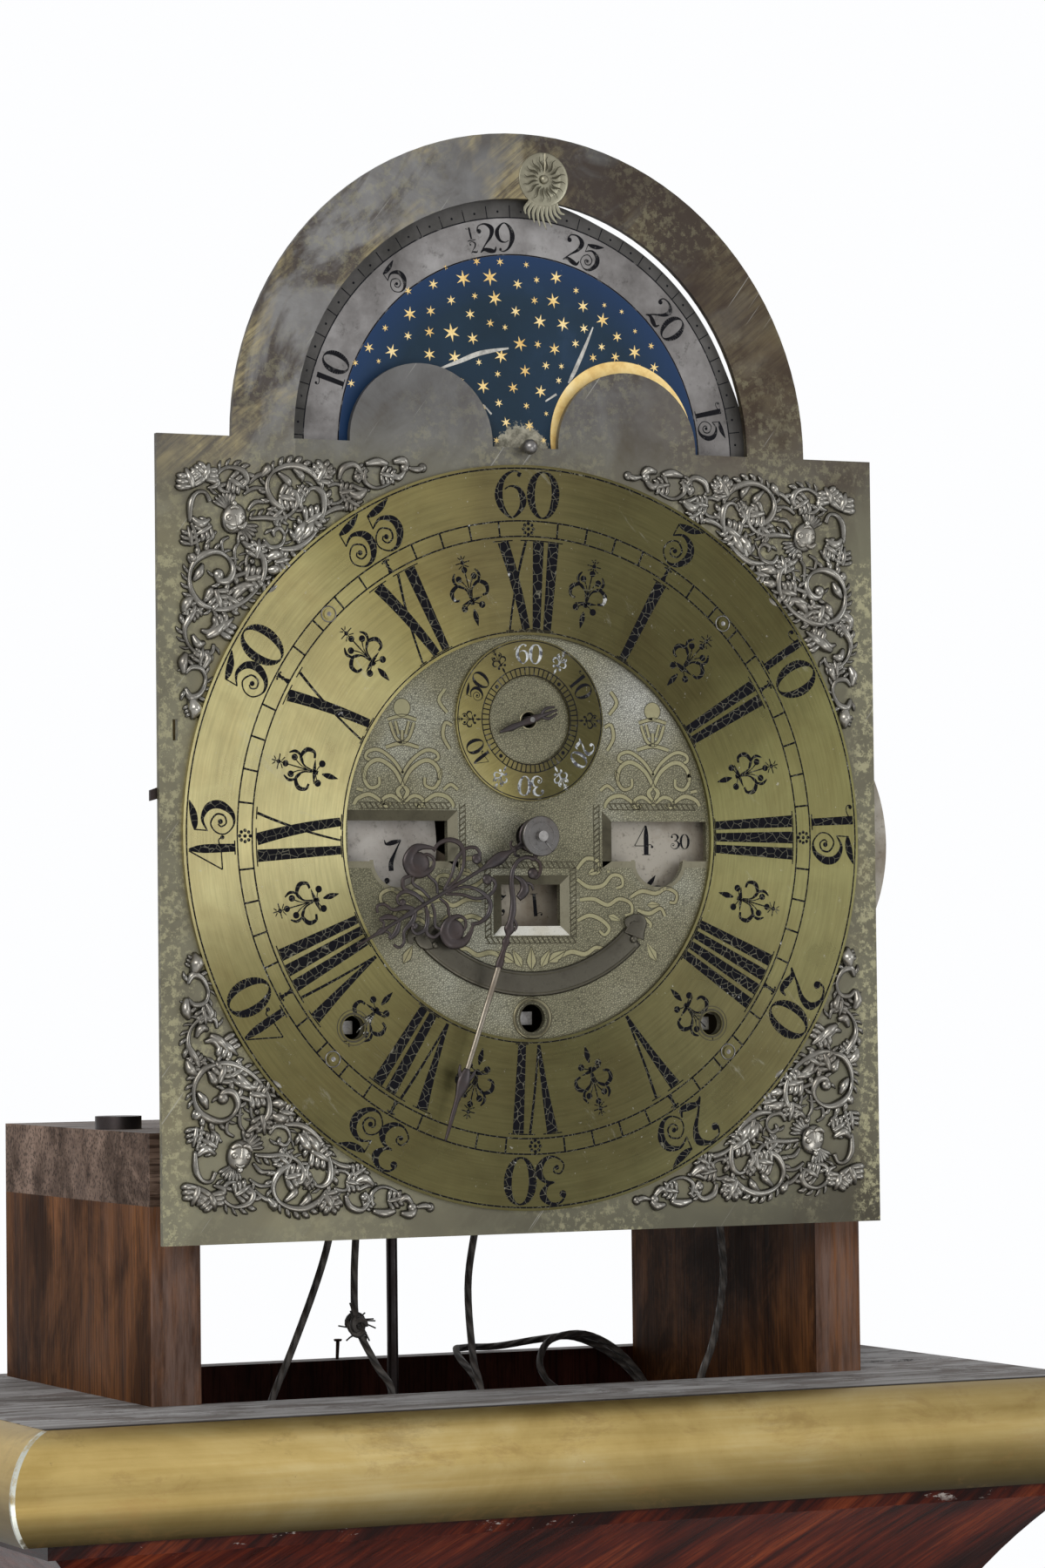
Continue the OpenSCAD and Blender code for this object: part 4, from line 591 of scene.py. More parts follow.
# The slots that aren't plain metals
PAINTS = {
    "veneer": veneer_paint,
    "dark_wood": lambda: wood("old_oak", (.17, .085, .042), (.035, .017, .01), dust=.5),
    "dusty_board": board_paint,
    "sheet_brass": moulding_paint,
    "dial_brass": dial_paint,
    "ring_brass": ring_paint,
    "painted_disc": moon_paint,
    "glass": glass_paint,
}

# Nodes that look unlike the rest of their slot
OWN_PAINT = {
    "trunk_sides": lambda: wood("stained_cheeks", (.19, .07, .018), (.03, .01, .004), patches=.75, wear=.35,
                                front=.6, shine=.06, below=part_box("top_board")[0][2]),
    "seatboard": lambda: wood("seatboard_oak", (.27, .185, .14), (.055, .03, .02), grain="x", patches=.6,
                              dust=.6, wear=.4, pores=.7, shine=.06),
    "backboard": lambda: wood("backboard_pine", (.085, .026, .017), (.022, .008, .006), dust=.85, wear=.12,
                              shine=.05),
    "throat_moulding": lambda: veneer_paint("throat_veneer", "x", 38, .9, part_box("brass_moulding")[0][2]),
    "plinth_boards": lambda: veneer_paint("plinth_veneer", "x"),
    "plinth_mouldings": lambda: veneer_paint("moulding_veneer", "x", 0, .8),
    "month_disc": lambda: metal("tarnished_disc"),
    "date_ring": lambda: metal("tarnished_ring"),
    "front_plate": lambda: metal("front_plate_brass"),
}

# Brass on a steel arbor: its dial point and the steel's radius in metres
ARBORS = {
    "centre_wheel": (HANDS_AT, .0031), "hour_wheel": (HANDS_AT, .0047), "escape_wheel": (SECONDS_AT, .0021),
    "third_wheel": ((-15.7657, 179.671), .0026), "intermediate_wheel": ((13.5073, 121.635), .0026),
    "great_wheel": (WINDING[1], .003), "strike_barrel": (WINDING[0], .0056),
    "going_barrel": (WINDING[1], .0056), "quarter_barrel": (WINDING[2], .0056),
}


def node_paint(name, slot):
    if name in OWN_PAINT:
        return OWN_PAINT[name]()
    if name in ARBORS:
        return brass(f"{name}_brass", *METALS["movement_brass"], arbor=ARBORS[name])
    return PAINTS[slot]() if slot in PAINTS else metal(slot)


def paint_nodes():
    """Gives every node but the lines its own paint or its slot's."""
    slots = {part["node"]: part["material_slot"] for part in frame["record"]["subparts"]}
    made = {}
    for name, thing in frame["nodes"].items():
        if slots[name] == "line":
            continue
        key = name if name in OWN_PAINT or name in ARBORS else slots[name]
        if key not in made:
            made[key] = node_paint(name, slots[name])
        for place in thing.material_slots:
            place.material = made[key]
        if not thing.material_slots:
            thing.data.materials.append(made[key])


def smooth(points, parts=5):
    """A rounded run through (across, up, width) points."""
    run = []
    for i in range(len(points) - 1):
        p0, p1, p2, p3 = (points[min(max(k, 0), len(points) - 1)] for k in (i - 1, i, i + 1, i + 2))
        for k in range(parts):
            t = k / parts
            run.append(tuple(.5 * (2 * b + (c - a) * t + (2 * a - 5 * b + 4 * c - d) * t * t
                                   + (3 * b - a - 3 * c + d) * t ** 3) for a, b, c, d in zip(p0, p1, p2, p3)))
    return run + [points[-1]]


def edges(run):
    """Left and right edge points of a run of (across, up, width)."""
    pairs = []
    for i, (x, z, w) in enumerate(run):
        a, b = run[max(i - 1, 0)], run[min(i + 1, len(run) - 1)]
        dx, dz = b[0] - a[0], b[1] - a[1]
        n = math.hypot(dx, dz) or 1
        w = max(w, .1)
        pairs.append(((x - dz / n * w / 2, z + dx / n * w / 2), (x + dz / n * w / 2, z - dx / n * w / 2)))
    return pairs


def stroke(*points, parts=5):
    pairs = edges(smooth(points, parts) if parts > 1 else points)
    return [[a0, b0, b1, a1] for (a0, b0), (a1, b1) in zip(pairs, pairs[1:])]


def straight(x0, z0, x1, z1, w0, w1=None):
    return stroke((x0, z0, w0), (x1, z1, w0 if w1 is None else w1), parts=1)


def circle(x, z, r, w, angles):
    """Stroke points on a circle, at angles in radians clockwise from the top."""
    return [(x + r * math.sin(a), z + r * math.cos(a), w) for a in angles]


def disc(x, z, r, sides=16):
    turns = [2 * math.pi * k / sides for k in range(sides)]
    return [[(x + r * math.cos(a), z + r * math.sin(a)) for a in turns]]


def arc(x, z, r, w, start=0, end=360, step=3):
    """A band of width w along a circle, angles anticlockwise from the right."""
    count = max(2, round(abs(end - start) / step))
    angles = [math.radians(start + (end - start) * k / count) for k in range(count + 1)]
    low, high = r - w / 2, r + w / 2
    return [[(x + q * math.cos(t), z + q * math.sin(t))
             for q, t in ((low, a), (high, a), (high, b), (low, b))] for a, b in zip(angles, angles[1:])]


def put(shapes, place):
    return [[place(*p) for p in shape] for shape in shapes]


def both(shapes):
    """The shapes and their mirror images."""
    return shapes + put(shapes, lambda x, z: (-x, z))


def turned(angle, at, size=1):
    """Turned clockwise by angle about the origin, scaled and moved to at."""
    c, s = math.cos(math.radians(angle)), math.sin(math.radians(angle))
    return lambda x, z: (at[0] + size * (x * c + z * s), at[1] + size * (z * c - x * s))


def on_ring(angle, centre, middle_r, size=1):
    """Bent round a centre: up is outward and the middle is at angle clockwise from the top."""
    def place(x, z):
        r = middle_r + z * size
        a = math.radians(angle) + x * size / middle_r
        return centre[0] + r * math.sin(a), centre[1] + r * math.cos(a)
    return place


def outside(shapes, *holes):
    """Leaves out what lies in any of the holes (across, up, radius)."""
    def clear(shape):
        x, z = (sum(p[i] for p in shape) / len(shape) for i in (0, 1))
        return all(math.hypot(x - hx, z - hz) > r for hx, hz, r in holes)
    return [shape for shape in shapes if clear(shape)]


def within(shapes, r):
    """Keeps what lies wholly within a radius of the dial's centre."""
    return [s for s in shapes if all(math.hypot(x, z - HANDS_AT[1]) < r for x, z in s)]


def area(shape):
    return sum(a[0] * b[1] - b[0] * a[1] for a, b in zip(shape, shape[1:] + shape[:1]))


def link(name, mesh, material, body="case", slot=None):
    """The mesh as a piece in the given material, which rides on the body when a slot is given."""
    mesh.materials.append(material)
    made = bpy.data.objects.new(name, mesh)
    bpy.context.scene.collection.objects.link(made)
    if slot:
        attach(made, body)
    return made


LAYERS = 5
LAYER_GAP = .008


def inlay(name, shapes, depth, material, body="case", slot="ring_brass"):
    """Flat shapes on the plane at that depth; neighbours differ a hair in height where they overlap."""
    verts, faces = [], []
    for i, shape in enumerate(shapes):
        shape = shape if area(shape) > 0 else shape[::-1]
        faces.append(list(range(len(verts), len(verts) + len(shape))))
        verts += [row(x, depth - LAYER_GAP * (i % LAYERS), z) for x, z in shape]
    mesh = bpy.data.meshes.new(name)
    mesh.from_pydata(verts, [], faces)
    return link(name, mesh, material, body, slot)


class Relief:
    """Rounded strokes and knobs that stand on a plane at a depth and rise from it to the front."""

    def __init__(self, depth, rise=.6):
        self.depth, self.rise = depth, rise
        self.verts, self.faces = [], []

    def bands(self, start, sides, count=1):
        """Faces between each of count rings of vertices and the next."""
        for a in range(start, start + count * sides, sides):
            self.faces += [(a + k, a + (k + 1) % sides, a + sides + (k + 1) % sides, a + sides + k)
                           for k in range(sides)]

    def sweep(self, points, parts=4, place=None, lift=0, round_=1):
        """A stroke with a round back, which stands higher where it is wider."""
        sides = 6
        run = smooth(points, parts)
        if place:
            moved = [place(x, z) for x, z, w in run]
            size = math.hypot(moved[1][0] - moved[0][0], moved[1][1] - moved[0][1]) / (
                math.hypot(run[1][0] - run[0][0], run[1][1] - run[0][1]) or 1)
            run = [(x, z, w * size) for (x, z), (_, _, w) in zip(moved, run)]
        start = len(self.verts)
        for (_, _, w), (left, right) in zip(run, edges(run)):
            high = self.rise * max(w, .3) ** round_
            for k in range(sides + 1):
                a = math.pi * k / sides
                t = (1 - math.cos(a)) / 2
                x, z = (low + (up - low) * t for low, up in zip(left, right))
                self.verts.append(row(x, self.depth - lift - high * math.sin(a), z))
        n = sides + 1
        for i in range(len(run) - 1):
            a, b = start + i * n, start + (i + 1) * n
            self.faces += [(a + k, b + k, b + k + 1, a + k + 1) for k in range(sides)]
            self.faces.append((a, a + sides, b + sides, b))
        self.faces.append(tuple(range(start, start + n)))
        self.faces.append(tuple(reversed(range(len(self.verts) - n, len(self.verts)))))

    def knob(self, x, z, r, high, squash=1, turn=0, rings=4, sides=14, place=None, lift=0):
        if place:
            x, z = place(x, z)
        start = len(self.verts)
        c, s = math.cos(math.radians(turn)), math.sin(math.radians(turn))
        for i in range(rings):
            t = math.pi / 2 * i / rings
            for k in range(sides):
                a = 2 * math.pi * k / sides
                u, v = r * math.cos(t) * math.cos(a), r * squash * math.cos(t) * math.sin(a)
                y = self.depth - lift - high * math.sin(t)
                self.verts.append(row(x + u * c + v * s, y, z + v * c - u * s))
        self.verts.append(row(x, self.depth - lift - high, z))
        self.bands(start, sides, rings - 1)
        last, top = start + (rings - 1) * sides, len(self.verts) - 1
        self.faces += [(last + k, last + (k + 1) % sides, top) for k in range(sides)]
        self.faces.append(tuple(reversed(range(start, start + sides))))

    def puck(self, x, z, radius, back, front, bevel):
        """A low turned disc between two depths."""
        sides = 40
        start = len(self.verts)
        for q, y in ((radius, back), (radius, front + bevel), (radius - bevel, front)):
            turns = [2 * math.pi * k / sides for k in range(sides)]
            self.verts += [row(x + q * math.cos(a), y, z + q * math.sin(a)) for a in turns]
        self.bands(start, sides, 2)
        self.faces.append(tuple(range(start, start + sides)))
        self.faces.append(tuple(range(len(self.verts) - sides, len(self.verts))))

    def frond(self, points, place):
        """A stroke with small lobes down its outer side, as on an acanthus scroll."""
        step, reach = 2.7, 3
        self.sweep(points, place=place)
        run = smooth(points, 6)
        gone = step / 2
        for a, b, c in zip(run, run[1:], run[2:]):
            dx, dz = b[0] - a[0], b[1] - a[1]
            n = math.hypot(dx, dz)
            gone += n
            if gone < step or n < 1e-6:
                continue
            gone = 0
            side = -1 if dx * (c[1] - b[1]) - dz * (c[0] - b[0]) > 0 else 1
            ahead, out = (dx / n, dz / n), (side * -dz / n, side * dx / n)
            at = lambda along, across: (b[0] + ahead[0] * along + out[0] * across,
                                        b[1] + ahead[1] * along + out[1] * across)
            w = b[2]
            self.sweep([(*at(-.9, w * .2), w * .6), (*at(.3, w * .4 + reach * .4), w * .8),
                        (*at(1.9, w * .4 + reach * .75), w * .3)], parts=3, place=place)

    def leaf(self, x, z, heading, length, width, place):
        """An acanthus leaf: a midrib with lobes that bend back from it. Heading is clockwise from up."""
        lobes = 3
        a = math.radians(heading)
        at = lambda along, across: (x + math.sin(a) * along + math.cos(a) * across,
                                    z + math.cos(a) * along - math.sin(a) * across)
        self.sweep([(*at(length * t, 0), width * w) for t, w in ((0, .28), (.5, .4), (1, .12))], place=place)
        for k in range(lobes):
            base = length * (.08 + .72 * k / lobes)
            reach = width * (.62 - .1 * k)
            for side in (-1, 1):
                lobe = ((0, 0, .22), (.14, side * reach * .7, .34), (.3, side * reach, .12))
                self.sweep([(*at(base + length * t, across), width * w) for t, across, w in lobe], parts=3,
                           place=place)

    def made(self, name, material, body="case", slot="dark_steel"):
        mesh = bpy.data.meshes.new(name)
        mesh.from_pydata(self.verts, [], self.faces)
        bm = bmesh.new()
        bm.from_mesh(mesh)
        bmesh.ops.recalc_face_normals(bm, faces=bm.faces)
        for face in bm.faces:
            face.smooth = len(face.verts) < 5
        bm.to_mesh(mesh)
        bm.free()
        return link(name, mesh, material, body, slot)


# The run-down lines: the barrel's middle and the side on which the slack leaves it, the barrel's height, and
# the run (across, behind, up) from the barrel to the pulley and from there to the tied end
LINE_D = 3
PULLEY_R = 20
PULLEY_Z = -1321.5
WEIGHT_Y = 76
KNOT_AT = (-42, 76, -38)
NAIL_AT = (-4.4, 185, -60.5)
HOOKS = {"going_line_hook": 152, "quarter_line_hook": 142}
HOOK_BEND = ((132, -94), (129.5, -94.5), (127.4, -97), (127.8, -100.4), (130.4, -101.6), (132, -99.4))
LAY = 8  # mm of line to a turn of its strands
LINES = {
    "strike": dict(x=-74, side=-1, fixed=78,
        slack=((-51, 76, 78), (-51, 76, 45), (-52, 76, 10), (-54, 76, -5), (-60, 76, -23), (-70, 76, -47),
               (-79, 76, -67), (-88, 76, -95), (-93, 76, -130), (-94, 76, -170)),
        tie=((-54, 76, -170), (-48, 76, -130), (-36, 76, -100), (-27, 76, -68), (-34, 76, -54),
             (-42, 76, -38), (-43, 76, -20), (-42, 76, 0), (-42, 76, 14))),
    "going": dict(x=0, side=1, fixed=80,
        slack=((24, 78, 80), (23, 79, 45), (16, 82, 10), (13, 84, -5), (10, 84, -26), (12, 84, -54),
               (15, 83, -68), (19, 79, -110), (20, 76, -150)),
        tie=((-20, 76, -190), (-8, 92, -150), (20, 124, -118), (46, 150, -78), (46, 174, -60), (52, 182, -58),
             (68, 182, -58), (84, 172, -55), (95, 162, -54), (110, 156, -62), (122, 152, -76),
             (129, 152, -98))),
    "quarter": dict(x=74, side=1, fixed=78,
        slack=((101, 64, 78), (103, 62, 45), (110, 60, 10), (112, 60, -5), (113, 60, -26), (108, 60, -50),
               (102, 62, -68), (96, 70, -110), (94, 76, -150)),
        tie=((54, 76, -190), (60, 96, -140), (82, 136, -86), (74, 146, -70), (73, 150, -62), (80, 154, -54),
             (94, 150, -52), (108, 145, -60), (120, 142, -76), (129, 142, -98))),
}


def tube(name, path, radius, material, sides=10, slot="line"):
    """A mesh tube in metres with u round it and v along it, in turns of the lay."""
    mesh = bpy.data.meshes.new(name)
    bm = bmesh.new()
    uv = bm.loops.layers.uv.new("UVMap")
    turns = [(math.cos(k * 2 * math.pi / sides), math.sin(k * 2 * math.pi / sides)) for k in range(sides)]
    rings, run = [], 0
    for i, p in enumerate(path):
        back = path[i] - path[max(i - 1, 0)]
        ahead = path[min(i + 1, len(path) - 1)] - path[i]
        run += back.length
        t = (back.normalized() + ahead.normalized()).normalized()
        a = t.cross(Vector((.02, 1, .01))).normalized()
        b = t.cross(a)
        rings.append(([bm.verts.new(p + radius * (c * a + s * b)) for c, s in turns], run / (LAY * MM)))
    for (r0, v0), (r1, v1) in zip(rings, rings[1:]):
        for k in range(sides):
            n = (k + 1) % sides
            face = bm.faces.new((r0[k], r1[k], r1[n], r0[n]))
            face.smooth = True
            for loop, (u, v) in zip(face.loops, ((k, v0), (k, v1), (k + 1, v1), (k + 1, v0))):
                loop[uv].uv = (u / sides, v)
    bm.faces.new(rings[0][0])
    bm.faces.new(reversed(rings[-1][0]))
    bm.normal_update()
    bm.to_mesh(mesh)
    bm.free()
    return link(name, mesh, material, slot=slot)


def wind_with(piece):
    """Gives a line, or a piece that is tied to it, its own copy of its mesh."""
    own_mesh(piece)


def add_lines():
    """Each line runs down from its barrel, round its weight's pulley and back up to its tied end."""
    paint = line_paint()
    for name, spec in LINES.items():
        turn = [(spec["x"] + spec["side"] * PULLEY_R * math.cos(math.radians(a)), WEIGHT_Y,
                 PULLEY_Z - PULLEY_R * math.sin(math.radians(a))) for a in range(0, 181, 20)]
        path = [row(*p) for p in smooth(spec["slack"], 5) + turn + smooth(spec["tie"], 5)]
        line = tube(f"{name}_line_gut", path, LINE_D / 2 * MM, paint)
        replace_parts(line, f"{name}_line")
        tied = add_knot(paint) if name == "strike" else []
        wind_with(line)


def add_knot(paint):
    """The strike line's tied end is a knot with loose strands."""
    rng = random.Random(11)
    cx, cy, cz = KNOT_AT
    loops, strands = [], []
    for k in range(4):
        tilt, lean = rng.uniform(-.7, .7), rng.uniform(-.5, .5)
        turns = [math.radians(a + 80 * k) for a in range(0, 331, 22)]
        loops.append([(cx + u + lean * v, cy + u * tilt + 1.1 * (k - 1.5), cz + v * .9 + .5 * (k - 1.5))
                      for u, v in ((2.7 * math.cos(t), 3.3 * math.sin(t)) for t in turns)])
    for _ in range(11):
        a = math.radians(rng.uniform(0, 360))
        far = rng.uniform(6, 9.5)
        tip = (cx + far * math.cos(a), cy + rng.uniform(-4, 3), cz + far * math.sin(a) * .9)
        middle = (cx + 3.4 * math.cos(a + .3), cy - 1.5, cz + 3.4 * math.sin(a + .3))
        strands.append([KNOT_AT, middle, tip])
    tied = []
    for kind, runs, radius, sides in (("knot", loops, 1.45, 8), ("strand", strands, .34, 5)):
        tied += [tube(f"strike_line_{kind}_{k}", [row(*p) for p in run], radius * MM, paint, sides)
                 for k, run in enumerate(runs)]
    for piece in tied:
        wind_with(piece)
    return tied


def add_ironwork(steel):
    """A nail on the backboard and two hooks in the right cheek that take the lines' ends."""
    nail = Relief(0)
    x, y, z = NAIL_AT
    sides = 12
    turns = [k * math.pi / 6 for k in range(sides)]
    for r, low, high in ((.8, -6, 7.4), (1.9, 7.4, 8.4)):
        start = len(nail.verts)
        for h, q in ((low, r * .7), (high - .3, r), (high, r * .8)):
            nail.verts += [row(x + q * math.cos(a) + h * .05, y + q * math.sin(a), z + h) for a in turns]
        nail.bands(start, sides, 2)
        nail.faces += [tuple(range(start, start + sides)), tuple(range(start + 2 * sides, start + 3 * sides))]
    nail.made("backboard_nail", steel)
    for name, y in HOOKS.items():
        tube(name, [row(x, y, z) for x, z in HOOK_BEND], .8 * MM, steel, 8, "dark_steel")


# Digits, about 17 mm high about their middle
SIX = stroke((4.4, 7.4, .5), (1.5, 8.4, .7), (-2.5, 6, 1.6), (-4.9, .5, 3.1), (-4, -4.8, 2.4),
             (-.3, -8.4, .7), (3.6, -5.6, 1.8), (4.8, -2, 2.7), (3.2, 1.9, 1.6), (0, 3, .6),
             (-2.4, 1.9, .5)) + disc(3.5, 7, .8)
DIGITS = {
    "0": [s for k in range(36) for s in stroke(*[
        (4.95 * math.cos(a), 8.4 * math.sin(a), .55 + 2.6 * abs(math.cos(a)) ** 1.4)
        for a in (math.radians(10 * k), math.radians(10 * k + 10))], parts=1)],
    "1": straight(0, -8.7, 0, 8.7, 3) + straight(-3.2, -8.6, 3.2, -8.6, .5)
    + stroke((1.2, 8.7, .6), (-2.6, 6.4, .45), (-5, 6.6, .45), (-5.2, 8.3, .45)) + disc(-4.6, 8, .75),
    "2": disc(-3.7, 4.7, 1.4)
    + stroke((-4.8, 4.9, .9), (-3.6, 7.8, .7), (.6, 8.5, 1.2), (4.3, 5.5, 2.9), (3.2, 1, 2), (-1, -3.4, .9),
             (-5.2, -7.8, .6))
    + stroke((-5.2, -7.8, .6), (-2.6, -6.3, 1.8), (1.5, -7.4, 2.9), (4.6, -7.8, 1.8), (5.8, -5.4, .6)),
    "3": disc(-3.6, 5.3, 1.3)
    + stroke((-4.6, 5.6, .8), (-2.6, 8.2, .8), (1.4, 8.3, 1.4), (4, 5.2, 2.8), (2.2, 1.8, 1.2), (-.8, .8, .6))
    + stroke((-.8, .8, .6), (3, .2, 1.4), (5.4, -3.4, 3), (3, -7.4, 1.8), (-1.4, -8.3, .7), (-5, -5.4, .6),
             (-3.4, -2.2, .6), (-.8, -2.8, .6), (-1, -4.8, .5)) + disc(-2.1, -4.4, .9),
    "4": stroke((1.6, 8.7, .8), (1.7, 3, 3), (1.7, -8.7, 3), parts=3) + straight(1.2, 8.7, -6, -3.4, .5)
    + straight(-6, -3.4, 2, -3.4, .5) + stroke((2, -3.4, .5), (4.6, -2.6, .5), (6, -4.6, .5))
    + disc(5.6, -4, .8)
    + straight(-1, -8.6, 4.4, -8.6, .5),
    "5": stroke((-4.2, 6.3, .8), (-1.8, 6.4, 2.4), (1.6, 7.2, 2.6), (5.4, 8.9, .4))
    + straight(-4.1, 6.6, -4.4, 1.4, .45)
    + stroke((-4.4, 1.6, .5), (-.4, 3.6, 1.2), (3.9, 1.4, 2.6), (4.9, -3, 3), (2.2, -7.4, 1.8),
             (-2, -8.3, .7), (-5.4, -5.4, .55), (-5, -1.8, .55), (-1.9, .4, .6), (1.4, -1.6, .7),
             (1, -4.6, .7), (-1.6, -5.4, .6), (-2.9, -3.6, .6), (-2, -2.4, .5)) + disc(-1.1, -3.2, .95),
    "6": SIX,
    "7": stroke((-5, 8.7, .4), (-4, 6.4, 1.4), (0, 7.2, 2.8), (5, 8.4, 1.2))
    + stroke((5, 8.6, .6), (1.4, 1.6, 1.4), (-1, -4, 2.8), (-1, -8.7, 3)),
    "8": stroke((3.4, 6.6, 1), (0, 8.5, .8), (-3.2, 6.6, 1.8), (-3, 3.6, 2.4), (0, .8, 2.6), (3.6, -2.2, 2.6),
                (4.4, -5.4, 2), (0, -8.4, .8), (-4.2, -5.4, 1.4), (-3.4, -1.8, .8), (0, .8, .7), (3, 3.8, .8),
                (3.4, 6.6, 1)),
    "9": put(SIX, lambda x, z: (-x, -z)),
}
DIGIT_W = {"1": 7.5, "0": 13.5, "4": 12.5}


def figures(text, pitch=12.2):
    """Digits side by side about the origin."""
    widths = [DIGIT_W.get(c, pitch) for c in text]
    x, shapes = -sum(widths) / 2, []
    for c, w in zip(text, widths):
        shapes += put(DIGITS[c], lambda a, b, m=x + w / 2: (a + m, b))
        x += w
    return shapes


# Roman numerals stand between two circles
ROMAN_LOW, ROMAN_HIGH = -16.8, 17.2
BAR_W, BAR_GAP, LEG_W, SERIF_W = 4, 1.5, .95, .45


def roman(text):
    """A numeral about the origin: thick and thin bars between two lines, with serifs."""
    half = {"I": BAR_W / 2, "V": 5.4, "X": 5.6}
    low, high = ROMAN_LOW, ROMAN_HIGH
    x, shapes = -(sum(2 * half[c] for c in text) + BAR_GAP * (len(text) - 1)) / 2, []
    for c in text:
        m = x + half[c]
        if c == "I":
            shapes += straight(m, low, m, high, BAR_W)
            tops = feet = [(m, BAR_W / 2 + 1.4)]
        elif c == "V":
            shapes += straight(m - 3.6, high, m + .4, low, BAR_W, 1.6)
            shapes += straight(m + 4.6, high, m + .6, low, LEG_W)
            tops, feet = [(m - 3.6, 3.4), (m + 4.6, 1.8)], []
        else:
            shapes += straight(m - 3.8, high, m + 3.8, low, BAR_W)
            shapes += straight(m + 4.6, high, m - 4.6, low, LEG_W)
            tops, feet = [(m - 3.8, 3.6), (m + 4.6, 2)], [(m + 3.8, 3.6), (m - 4.6, 2)]
        for places, z in ((tops, high + .3), (feet, low - .3)):
            for at, reach in places:
                shapes += straight(at - reach, z, at + reach, z, SERIF_W)
        x += 2 * half[c] + BAR_GAP
    return shapes


def cut_up(shapes, longest=3):
    """Four-sided shapes cut across their length, so that they can bend round the ring."""
    mix = lambda a, b, t: (a[0] + (b[0] - a[0]) * t, a[1] + (b[1] - a[1]) * t)
    cut = []
    for s in shapes:
        if len(s) != 4:
            cut.append(s)
            continue
        count = max(1, math.ceil(math.hypot(s[3][0] - s[0][0], s[3][1] - s[0][1]) / longest))
        for t0, t1 in ((k / count, (k + 1) / count) for k in range(count)):
            cut.append([mix(s[0], s[3], t0), mix(s[1], s[2], t0), mix(s[1], s[2], t1), mix(s[0], s[3], t1)])
    return cut


FLEUR = (disc(0, 12.2, 1.25) + straight(0, 0, 0, 11.4, .5) + stroke((0, -1.5, 1.6), (0, .4, 1.4), parts=1)
         + stroke((0, -9.9, .2), (0, -6.2, 2.3), (0, -3.2, .5), parts=3)
         + stroke((-4.6, -.8, .2), (0, .1, 1.5), (4.6, .8, .2), parts=3)
         + both(disc(3.8, -2.3, 1.35) + stroke((0, -.6, .5), (1.6, -1, .4), (3, -1.8, .5))
                + stroke((.4, 1, .5), (1.3, 4.6, .7), (4.2, 6.8, 1.2), (7.4, 5, 1.8), (7.2, 1.9, 1.2),
                         (5, 1.2, .9))
                + disc(3.3, 9.2, 1.3) + stroke((0, 2.4, .4), (1, 6, .4), (2.6, 8.6, .5))
                + stroke((1.2, 4.8, .4), (4.4, 6.8, .8), (5.6, 9.4, 1.2), (4.4, 11.8, .5)))
         + straight(-3, 15, 3, 15.2, .45) + straight(0, 13, 0, 18, .45) + disc(0, 15.1, .9, 8)
         + both(stroke((.5, 14, .4), (2.2, 13, .4), parts=1)
                + stroke((.5, 16.4, .5), (1.6, 17.4, .3), parts=1)))
FLOWER = [s for k in range(8) for s in disc(2.1 * math.cos(math.pi * k / 4), 2.1 * math.sin(math.pi * k / 4),
                                             .72, 8)] + disc(0, 0, .75, 8)
HOURGLASS = (straight(0, -2.6, 0, 0, 2.2, .5) + straight(0, 0, 0, 2.6, .5, 2.2) + disc(0, 0, .8, 10)
             + both(disc(1.4, 1.9, .45, 8)))
# Middle radii of the chapter ring's rows
ROMAN_R, FIGURE_R, TRACK_R, FLEUR_R = 97, 132.4, 119, 93.7


def add_chapter_engraving(wax):
    shapes = []
    for r, w in ((142.5, .6), (122.1, .6), (116.1, .6), (79.3, .5)):
        shapes += arc(*HANDS_AT, r, w, step=2)
    for minute in range(60):
        mark = FLOWER if minute % 15 == 0 else HOURGLASS if minute % 5 == 0 else straight(0, -3, 0, 3, .75)
        shapes += put(mark, on_ring(6 * minute, HANDS_AT, TRACK_R))
        if minute % 5 == 0:
            shapes += put(figures(str(minute or 60)), on_ring(6 * minute, HANDS_AT, FIGURE_R, 1.07))
    for hour, text in enumerate("I II III IIII V VI VII VIII IX X XI XII".split(), 1):
        shapes += put(cut_up(roman(text)), on_ring(30 * hour, HANDS_AT, ROMAN_R))
        shapes += put(FLEUR, turned(30 * hour - 15, on_ring(30 * hour - 15, HANDS_AT, FLEUR_R)(0, 0)))
    shapes = outside(shapes, (*WINDING[0], 5.2), (*WINDING[2], 5.2))
    inlay("chapter_ring_engraving", shapes, RING_FACE - FILL, wax)


def add_seconds_engraving(wax, chalk):
    shapes, worn = [], []
    for r in (30.6, 20.4, 17.3):
        shapes += arc(*SECONDS_AT, r, .4)
    for k in range(60):
        mark = disc(0, 0, .8, 10) if k % 15 == 7 else straight(0, -1.5, 0, 1.5, .45)
        shapes += put(mark, on_ring(6 * k, SECONDS_AT, 18.8))
    for k in range(6):
        marks = put(figures(str(10 * k or 60)), on_ring(60 * k, SECONDS_AT, 25.6, .44))
        marks += put(FLEUR, turned(60 * k + 30, on_ring(60 * k + 30, SECONDS_AT, 24.3)(0, 0), .38))
        if k in (0, 2, 3):
            worn += marks
        else:
            shapes += marks
    inlay("seconds_ring_engraving", shapes, SECONDS_FACE - FILL, wax)
    inlay("seconds_ring_worn_figures", worn, SECONDS_FACE - FILL, chalk)


# The moon disc: its turn, and half days in a lunation
MOON_TURN = -8.5
HALF_DAYS = 59
LUNATION = HALF_DAYS / 2
